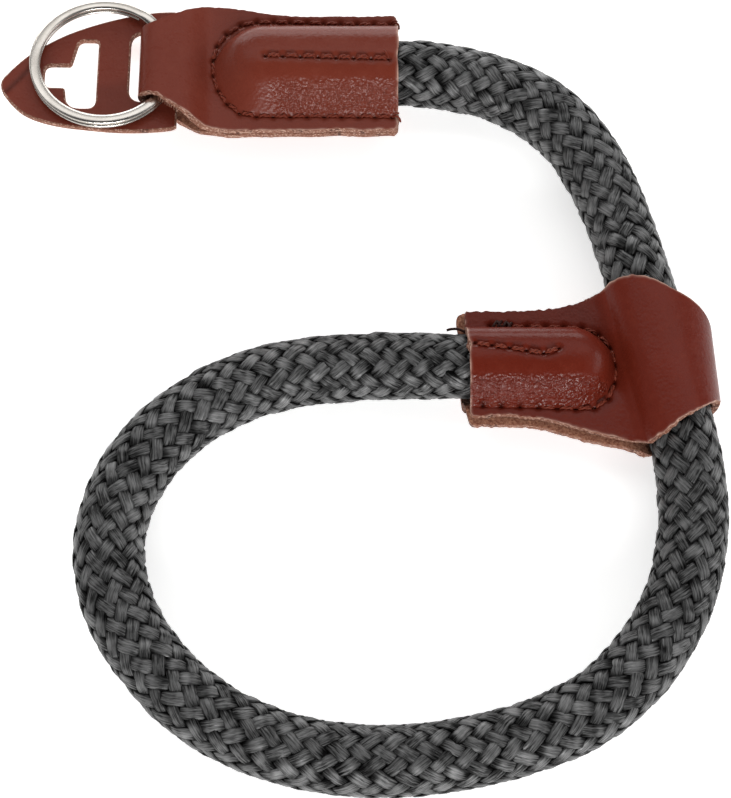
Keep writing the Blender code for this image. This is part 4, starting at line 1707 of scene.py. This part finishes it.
@dataclass
class BraidedRope:
    """Twelve-millimetre rope: a core inside a braid of 32 strands, two over and two under."""

    slider: Slider
    neck: NeckSizes
    strand_finish: Material
    core_finish: Material
    carriers: int = 16
    angle: float = math.radians(31.5)
    strand_width: float = 2.25 * MM
    strand_height: float = 0.6 * MM
    barrel: float = 0.12
    sidestep: float = 0.16 * MM
    over_base: float = 5.42 * MM
    under_base: float = 4.6 * MM
    bunching: float = 7.0
    most_bend: float = 0.2
    dive_share: float = 0.85
    dive_speed: float = 3.6
    dive_shift: float = 0.04
    sway: float = 0.024
    swell_rise: float = 0.14 * MM
    swell_width: float = 0.07
    wander_height: float = 0.12
    over_height: float = 0.06
    wander_lengths: Triple = (3.1, 5.3, 11.0)
    swell_lengths: Triple = (2.3, 4.1, 8.0)
    core_radius: float = 4.8 * MM
    core_sides: int = 12
    core_step: int = 6
    end_room: float = 5.4 * MM
    slider_end_room: float = 3.7 * MM
    end_narrowing: float = 3.6 * MM
    end_share: float = 0.7
    squeeze: float = 0.07
    squeeze_length: float = 8.0 * MM
    hidden_room: float = 4.0 * MM
    phases: tuple[float, ...] = (-1.15, -0.97, -0.78, -0.3, 0.3, 0.78, 0.97, 1.15, 2.0)
    hidden_phases: tuple[float, ...] = (0.0, 2.0)
    least_step: float = 0.3 * MM
    route_step: float = 0.5 * MM
    # The strand's section in rows of across and up, as shares of its half width and height
    section: Sequence[Pair] = (
        (-1.00, 0.00), (-0.93, 0.74), (-0.60, 1.00), (0.60, 1.00), (0.93, 0.74), (1.00, 0.00),
        (0.00, -0.30),
    )

    def __post_init__(self) -> None:
        """Lay the centre line, from inside the anchor to inside the slider."""
        self.slider_end_x = self.slider.seam_tip_x - self.slider_end_room
        self.route = smooth_route(self.points(), self.route_step)
        self.line = self.frames()

    def points(self) -> list[Vector]:
        """The whole route: in the anchor, along the arm, through the slider, round, into it.

        Returns:
            The points that the centre line runs through.
        """
        neck, slider = self.neck, self.slider
        anchor_end = neck.seam_tip_x + self.end_room
        in_anchor = [(x, neck.axis_y) for x in (anchor_end, (anchor_end + neck.mouth_x) / 2)]
        through = [slider.axis_y + share * slider.half_width for share in (0.65, 0.0, -0.65)]
        standing = [(slider.standing_axis(y), y) for y in through]
        middle = (slider.mouth_x + self.slider_end_x) / 2
        in_slider = [(x, slider.axis_y) for x in (slider.mouth_x, middle, self.slider_end_x)]
        sewn = [[Vector((*spot, SEAM_PLANE_Z)) for spot in run]
                for run in (in_anchor, standing, in_slider)]
        arm, loop = ([Vector(point) * MM for point in run] for run in (ARM_ROUTE, LOOP_ROUTE))
        return sewn[0] + arm + sewn[1] + loop + sewn[2]

    def frames(self) -> CentreLine:
        """Centre line with a frame that doesn't twist.

        Returns:
            The line, its directions across it as unit vectors.
        """
        centre = np.array([point[:] for point in self.route])
        tangent = unit(np.gradient(centre, axis=0))
        across = np.zeros_like(centre)
        up = Vector((0.0, 0.0, 1.0))
        for index, row in enumerate(tangent):
            direction = Vector(row)
            up = (up - direction * up.dot(direction)).normalized()
            across[index] = up
        steps = np.linalg.norm(np.diff(centre, axis=0), axis=1)
        reach = np.concatenate([[0.0], np.cumsum(steps)])
        return CentreLine(reach, centre, across, np.cross(tangent, across))

    def bunched(self, along: np.ndarray, out: np.ndarray) -> np.ndarray:
        """How much further the floats stand out where the braid bunches inside a bend.

        Args:
            along: Distances along the centre line.
            out: The direction from the centre line at each.

        Returns:
            The factor on their rise at each, 1 outside a bend.
        """
        tangent = np.gradient(self.line.centre, self.line.reach, axis=0)
        bend = np.gradient(tangent, self.line.reach, axis=0)
        inner = (self.line.read(along, bend) * out).sum(axis=1) * ROPE_RADIUS
        return 1.0 + self.bunching * np.clip(inner, 0.0, self.most_bend)

    def narrowed(self, along: np.ndarray) -> np.ndarray:
        """How far the rope is drawn in at its two cut ends and at the slider's mouth.

        Args:
            along: Distances along the centre line.

        Returns:
            The share of the full radius at each.
        """
        end = self.line.reach[-1]
        from_end = np.clip(np.minimum(along, end - along) / self.end_narrowing, 0.0, 1.0)
        mouth = end - (self.slider_end_x - self.slider.mouth_x)
        squeeze = 1 - self.squeeze * np.exp(-(((along - mouth) / self.squeeze_length) ** 2))
        return squeeze * (self.end_share + (1 - self.end_share) * from_end * (2 - from_end))

    def hidden(self, along: np.ndarray) -> np.ndarray:
        """Whether the rope lies well inside a sleeve, where no braid shows.

        Args:
            along: Distances along the centre line.

        Returns:
            True or False for each.
        """
        slider, room = self.slider, self.hidden_room
        end = self.line.reach[-1]
        x, y = self.line.read(along, self.line.centre)[:, :2].T
        in_anchor = (along < end / 4) & (x < self.neck.mouth_x - room)
        in_slider = (along > end / 2) & (x > slider.mouth_x + room) & (y > slider.axis_y - room)
        standing = np.abs(x - slider.standing_axis(y)) < room / 2
        return in_anchor | in_slider | standing & (np.abs(y - slider.axis_y) < room)

    def samples(self, middle: float, cell: float) -> np.ndarray:
        """Where along the rope a strand is drawn: closest where it dives, sparse where hidden.

        Args:
            middle: Where one of its floats is highest, in crossings from the rope's start.
            cell: Length of rope between two crossings.

        Returns:
            Distances along the centre line, both ends included.
        """
        end = self.line.reach[-1]
        count = 2 * self.carriers
        middles = (middle + 4 * np.arange(-count, end / cell / 4 + count)) * cell
        shown = (middles[:, None] + np.array(self.phases) * cell).ravel()
        unseen = (middles[:, None] + np.array(self.hidden_phases) * cell).ravel()
        spots = np.concatenate([shown[~self.hidden(shown)], unseen[self.hidden(unseen)]])
        spots = np.sort(spots[(spots > self.least_step) & (spots < end - self.least_step)])
        return np.concatenate([[0.0], spots, [end]])

    def strand(self, index: int, turn: int, rng: np.random.RandomState) -> tuple:
        """One strand as rows of its closed section.

        Args:
            index: Which strand of its direction.
            turn: 1 or -1, the way that it winds.
            rng: Seeded source of its small unevenness.

        Returns:
            Points (rows, section, 3), UVs (rows, section, 2) and painted crown shading (rows,
            section).
        """
        lead = 2 * math.pi * ROPE_RADIUS / math.tan(self.angle)
        cell = lead / (2 * self.carriers)
        top = 0.5 - 2 * index if turn > 0 else 2 * index - 2.5
        s = self.samples(top, cell)
        phase = rng.uniform(0, 2 * math.pi, 6)
        wander = waves(s, self.wander_lengths, phase)
        swell = waves(s, self.swell_lengths, phase[3:])
        theta = turn * 2 * math.pi * (s / lead) + 2 * math.pi * index / self.carriers
        theta = theta + wander * self.sway
        at, one, two = (self.line.read(s, rows) for rows in self.line[1:])
        out = one * np.cos(theta)[:, None] + two * np.sin(theta)[:, None]
        # How high it rides: +1 on top of a crossing, -1 under one
        quarter = (s / cell - top) * math.pi / 2
        over = np.cos(quarter)
        dive = np.tanh(self.dive_speed * (over - self.dive_shift))
        lift = self.dive_share * dive + (1 - self.dive_share) * over
        stretch = np.where(lift > 0.0, self.bunched(s, out), 1.0)
        swing = (self.over_base - self.under_base) / 2
        base = (self.over_base + self.under_base) / 2 + swing * lift * stretch
        base = base + swell * self.swell_rise
        line = at + out * (base * self.narrowed(s))[:, None]
        along = unit(np.gradient(line, s, axis=0))
        side = unit(np.cross(along, out))
        normal = np.cross(side, along)
        line = line + side * (turn * self.sidestep * np.sin(quarter))[:, None]
        raised = np.clip(lift, 0.0, 1.0)
        width = self.strand_width / 2 * (1.0 + self.swell_width * swell + self.barrel * raised)
        tall = 1.0 + self.wander_height * wander + self.over_height * over
        height = self.strand_height * tall
        droop = math.cos(self.angle) ** 2 / (2 * ROPE_RADIUS)
        points = np.empty((len(s), len(self.section), 3))
        uvs = np.empty((*points.shape[:2], 2))
        crowns = np.empty(points.shape[:2])
        for column, (offset, rise) in enumerate(self.section):
            sideways = width * offset
            up = height * rise - droop * sideways ** 2
            points[:, column] = line + side * sideways[:, None] + normal * up[:, None]
            # Millimetres along the strand, each strand far from the others, and its share across
            uvs[:, column, 0] = s / MM / math.cos(self.angle) + 41.7 * index + 900 * turn
            uvs[:, column, 1] = offset / 2 + 0.5
            # Painted highlight on the raised crown; low values leave painted shade where it dives
            # under
            crowns[:, column] = raised * max(rise, 0.0)
        # Its own weight flattens the braid where it lies on the table
        points[:, :, 2] = np.maximum(points[:, :, 2], 0.0)
        return points, uvs, crowns

    def core(self) -> np.ndarray:
        """The core as a plain tube inside the braid.

        Returns:
            Its points (rings, sides, 3).
        """
        reach, centre, across, beside = (rows[::self.core_step] for rows in self.line)
        angles = np.arange(self.core_sides) * 2 * math.pi / self.core_sides
        out = (
            across[:, None] * np.cos(angles)[None, :, None]
            + beside[:, None] * np.sin(angles)[None, :, None]
        )
        return centre[:, None] + (self.core_radius * self.narrowed(reach))[:, None, None] * out

    def build(self) -> None:
        rng = np.random.RandomState(12)
        tubes = [
            self.strand(index, turn, rng) for turn in (1, -1) for index in range(self.carriers)
        ]
        faces: list[tuple[int, ...]] = []
        first = 0
        for points, _, _ in tubes:
            faces += tube_faces(first, *points.shape[:2], turned=True)
            first += points.shape[0] * points.shape[1]
        slots = [0] * len(faces)
        core = self.core()
        faces += tube_faces(first, *core.shape[:2])
        slots += [1] * (len(faces) - len(slots))
        tubes.append((core, np.zeros((*core.shape[:2], 2)), np.zeros(core.shape[:2])))
        verts, uvs, crowns = (
            np.concatenate([rows.reshape(-1, *rows.shape[2:]) for rows in part])
            for part in zip(*tubes)
        )
        mesh = bpy.data.meshes.new("braided_rope")
        mesh.from_pydata(verts.tolist(), [], faces)
        corner = np.empty(len(mesh.loops), dtype=np.int32)
        mesh.loops.foreach_get("vertex_index", corner)
        mesh.uv_layers.new(name="strand").data.foreach_set("uv", uvs[corner].ravel())
        keep_values(mesh, crown=crowns.astype(np.float32))
        mesh.materials.append(self.strand_finish)
        mesh.materials.append(self.core_finish)
        mesh.polygons.foreach_set("material_index", slots)
        mesh.shade_smooth()
        rope = new_object("braided_rope", mesh)
        hand_over(rope, "charcoal_braid", "rope")


# Places of the loose bits of thread, in millimetres
KNOT = ((25.7, -22.2), (26.6, -22.1), (27.5, -22.2), (28.4, -22.4))
BLACK_END = (
    (23.0, -25.2, 9.2), (21.6, -24.3, 9.3), (20.4, -23.5, 9.5), (19.2, -23.0, 9.5),
    (18.1, -22.9, 9.3), (17.2, -23.1, 9.2),
)
BROWN_ENDS = (
    ((7.0, 28.4, 14.6), (6.8, 28.8, 15.4), (6.4, 29.4, 15.6), (5.9, 30.1, 15.4)),
    ((7.6, 38.6, 8.9), (8.3, 38.8, 9.7), (8.9, 38.4, 9.6), (9.0, 37.8, 9.0)),
    ((7.4, 38.8, 8.9), (7.9, 39.2, 9.7), (8.7, 39.2, 9.5)),
    ((7.7, 19.5, 8.9), (8.4, 19.3, 9.7), (9.0, 18.9, 9.5), (9.2, 18.4, 9.0)),
    ((7.6, 19.6, 8.9), (8.2, 19.9, 9.7), (8.9, 20.0, 9.5)),
)


@dataclass
class LooseThread:
    """The knotted start of the slider's seam and the thread ends left at the mouths."""

    strip: Slider
    black: Material
    brown: Material
    radius: float = 0.26 * MM
    brown_share: float = 0.7
    step_length: float = 0.3 * MM
    loop_reach: float = 0.75 * MM
    loop_rise: float = 0.6 * MM
    loop_sunk: float = 0.2 * MM
    loop_leans: Pair = (0.45 * MM, -0.35 * MM)
    loop_steps: int = 10

    def build(self) -> None:
        """Sweep the knot's loops, one and two by turns, and the loose ends."""
        dark = []
        for index, (x, y) in enumerate(KNOT):
            spot = Vector((x, y, 0.0)) * MM
            spot.z = self.strip.outer_height(spot.x, spot.y, 1.0) - self.loop_sunk
            for lean in self.loop_leans[:1 + index % 2]:
                flat = Vector((lean, self.loop_reach, 0.0))
                rise = Vector((0.0, 0.0, self.loop_rise))
                turns = [math.pi * step / self.loop_steps for step in range(self.loop_steps + 1)]
                dark.append([spot + flat * math.cos(t) + rise * math.sin(t) for t in turns])
        dark.append(route_mm(BLACK_END, self.step_length))
        sweep_threads("dark_thread_ends", dark, self.radius, self.black)
        brown = [route_mm(points, self.step_length) for points in BROWN_ENDS]
        sweep_threads("brown_thread_ends", brown, self.brown_share * self.radius, self.brown)


@dataclass
class NeckFray:
    """Leather fibres torn loose along the underside of the neck's south edge."""

    strip: Anchor
    finish: Material
    from_x: float = -36.9 * MM
    to_x: float = -31.6 * MM
    radius: float = 0.09 * MM
    reach: float = 0.85 * MM
    droop: float = 0.25 * MM

    def build(self) -> None:
        """Sweep one short fibre from every other cross line."""
        runs = []
        for index, station in enumerate(self.strip.stations()):
            if station.layer < 1.0 or not self.from_x < station.x < self.to_x or index % 2:
                continue
            key = noise.noise(Vector((index * 0.37, 2.1, 0.4)))
            start = self.strip.place(station, 0.0)[0] + Vector((0.0, 0.25, -0.35)) * MM
            out = Vector((0.5 * key, -1.0, -0.25 + 0.3 * key)) * self.reach * (1.0 + 0.8 * key)
            droop = Vector((0.0, 0.0, -self.droop))
            shares = (0.0, 0.35, 0.7, 1.0)
            runs.append([start + out * share + droop * share ** 2 for share in shares])
        sweep_threads("neck_fray", runs, self.radius, self.finish)


class SoftBox(NamedTuple):
    """One soft light: where it hangs, its width and height in metres, and its watts."""

    name: str
    place: Triple
    size: Pair
    power: float


@dataclass
class Studio:
    """The pale table, the soft lights and the camera."""

    target: Triple = (2.7 * MM, -35.0 * MM, 6.0 * MM)
    elevation: float = math.radians(70.0)
    distance: float = 410.0 * MM
    focal_pixels: float = 2300.0
    picture_height: float = 798.0
    sensor: float = 24.0
    table_size: float = 12.0
    table_cuts: int = 8
    table_drop: float = 0.06 * MM
    boxes: tuple[SoftBox, ...] = (
        SoftBox("ceiling_box", (0.0, 0.42, 0.80), (1.8, 0.5), 3.9),
        SoftBox("back_box", (-0.10, 0.80, 0.20), (1.0, 0.34), 4.0),
        SoftBox("front_strip", (0.05, -0.95, 0.38), (0.7, 0.08), 8.4),
        SoftBox("right_box", (0.85, 0.0, 0.30), (0.6, 0.3), 1.6),
    )

    @property
    def towards_lens(self) -> Triple:
        """Direction from the strap to the camera."""
        return 0.0, -math.cos(self.elevation), math.sin(self.elevation)

    def floor(self) -> None:
        """Lay the table under the strap."""
        deselect_all()
        bpy.ops.mesh.primitive_plane_add(size=self.table_size, location=(0.0, 0.0, 0.0))
        with edit_mode():
            bpy.ops.mesh.subdivide(number_cuts=self.table_cuts)
            bpy.ops.transform.translate(value=(0.0, 0.0, -self.table_drop))
        table = bpy.context.object
        table.name = table.data.name = "table_top"
        table.data.materials.append(TableSheet().build())

    def lights(self) -> None:
        """Set the pale air, darker where the photographer stands, and hang the soft boxes."""
        world = bpy.data.worlds.new("studio_air")
        bpy.context.scene.world = world
        world.use_nodes = True
        sky = world.node_tree.nodes["Background"]
        sky.inputs["Color"].default_value = linear("#ffffff")
        facing = Node("facing", "VectorMath", {0: "place", 1: self.towards_lens},
                      {"operation": "DOT_PRODUCT"}, "Value")
        strength = Node("Strength", "MapRange",
                        {"Value": "facing", "From Min": 0.68, "From Max": 0.94, "To Min": 0.36,
                         "To Max": 0.06}, {"interpolation_type": "SMOOTHSTEP"})
        feed(world.node_tree, sky, (PLACE, facing, strength), {})
        for name, place, (width, height), power in self.boxes:
            lamp = bpy.data.lights.new(name, "AREA")
            set_up(lamp, shape="RECTANGLE", size=width, size_y=height, energy=power)
            box = new_object(name, lamp)
            box.location = place
            aim = Vector(self.target) - Vector(place)
            box.rotation_euler = aim.to_track_quat("-Z", "Y").to_euler()

    def camera(self) -> None:
        """Place the camera at the picture's angle."""
        data = set_up(
            bpy.data.cameras.new("picture_camera"), sensor_fit="VERTICAL",
            sensor_height=self.sensor, clip_start=0.01,
            lens=self.focal_pixels / self.picture_height * self.sensor,
        )
        view = new_object("picture_camera", data)
        view.location = Vector(self.target) + Vector(self.towards_lens) * self.distance
        view.rotation_euler = (math.pi / 2 - self.elevation, 0.0, 0.0)
        bpy.context.scene.camera = view
        bpy.context.scene.view_settings.view_transform = "Standard"


def main() -> None:
    """Build the strap piece by piece, and the studio round it."""
    logging.basicConfig(level=logging.INFO, format="%(name)s %(message)s")
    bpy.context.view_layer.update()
    studio = Studio()
    studio.floor()
    studio.lights()
    studio.camera()

    raw = [FleshLeather().build(), CutEdge().build()]
    leather = [GrainLeather().build(), *raw]
    # The slider's strip takes a darker copy of the grain leather
    deep = GrainLeather("grain_leather_deep", "#6c261a", "#5b1d11", "#743021").build()
    brown_thread = SewingThread("brown_thread", "#4c180e", "#873d2b").build()
    dark_thread = SewingThread("dark_thread", "#1a0805", "#3d1710").build()
    neck = NeckSizes()
    anchor = Anchor(neck=neck, finishes=leather)
    slider = Slider(finishes=[deep, *raw])
    BraidedRope(slider, neck, BraidFibre().build(), RopeCore().build()).build()
    anchor.build()
    slider.build()
    Stitching(anchor, brown_thread).build()
    Stitching(slider, brown_thread).build()
    LooseThread(slider, dark_thread, brown_thread).build()
    NeckFray(anchor, raw[1]).build()
    SplitRing(neck, NickelPlate().build()).build()
    ProtectorTab(neck, leather).build()

    deselect_all()


if __name__ == "__main__":
    main()
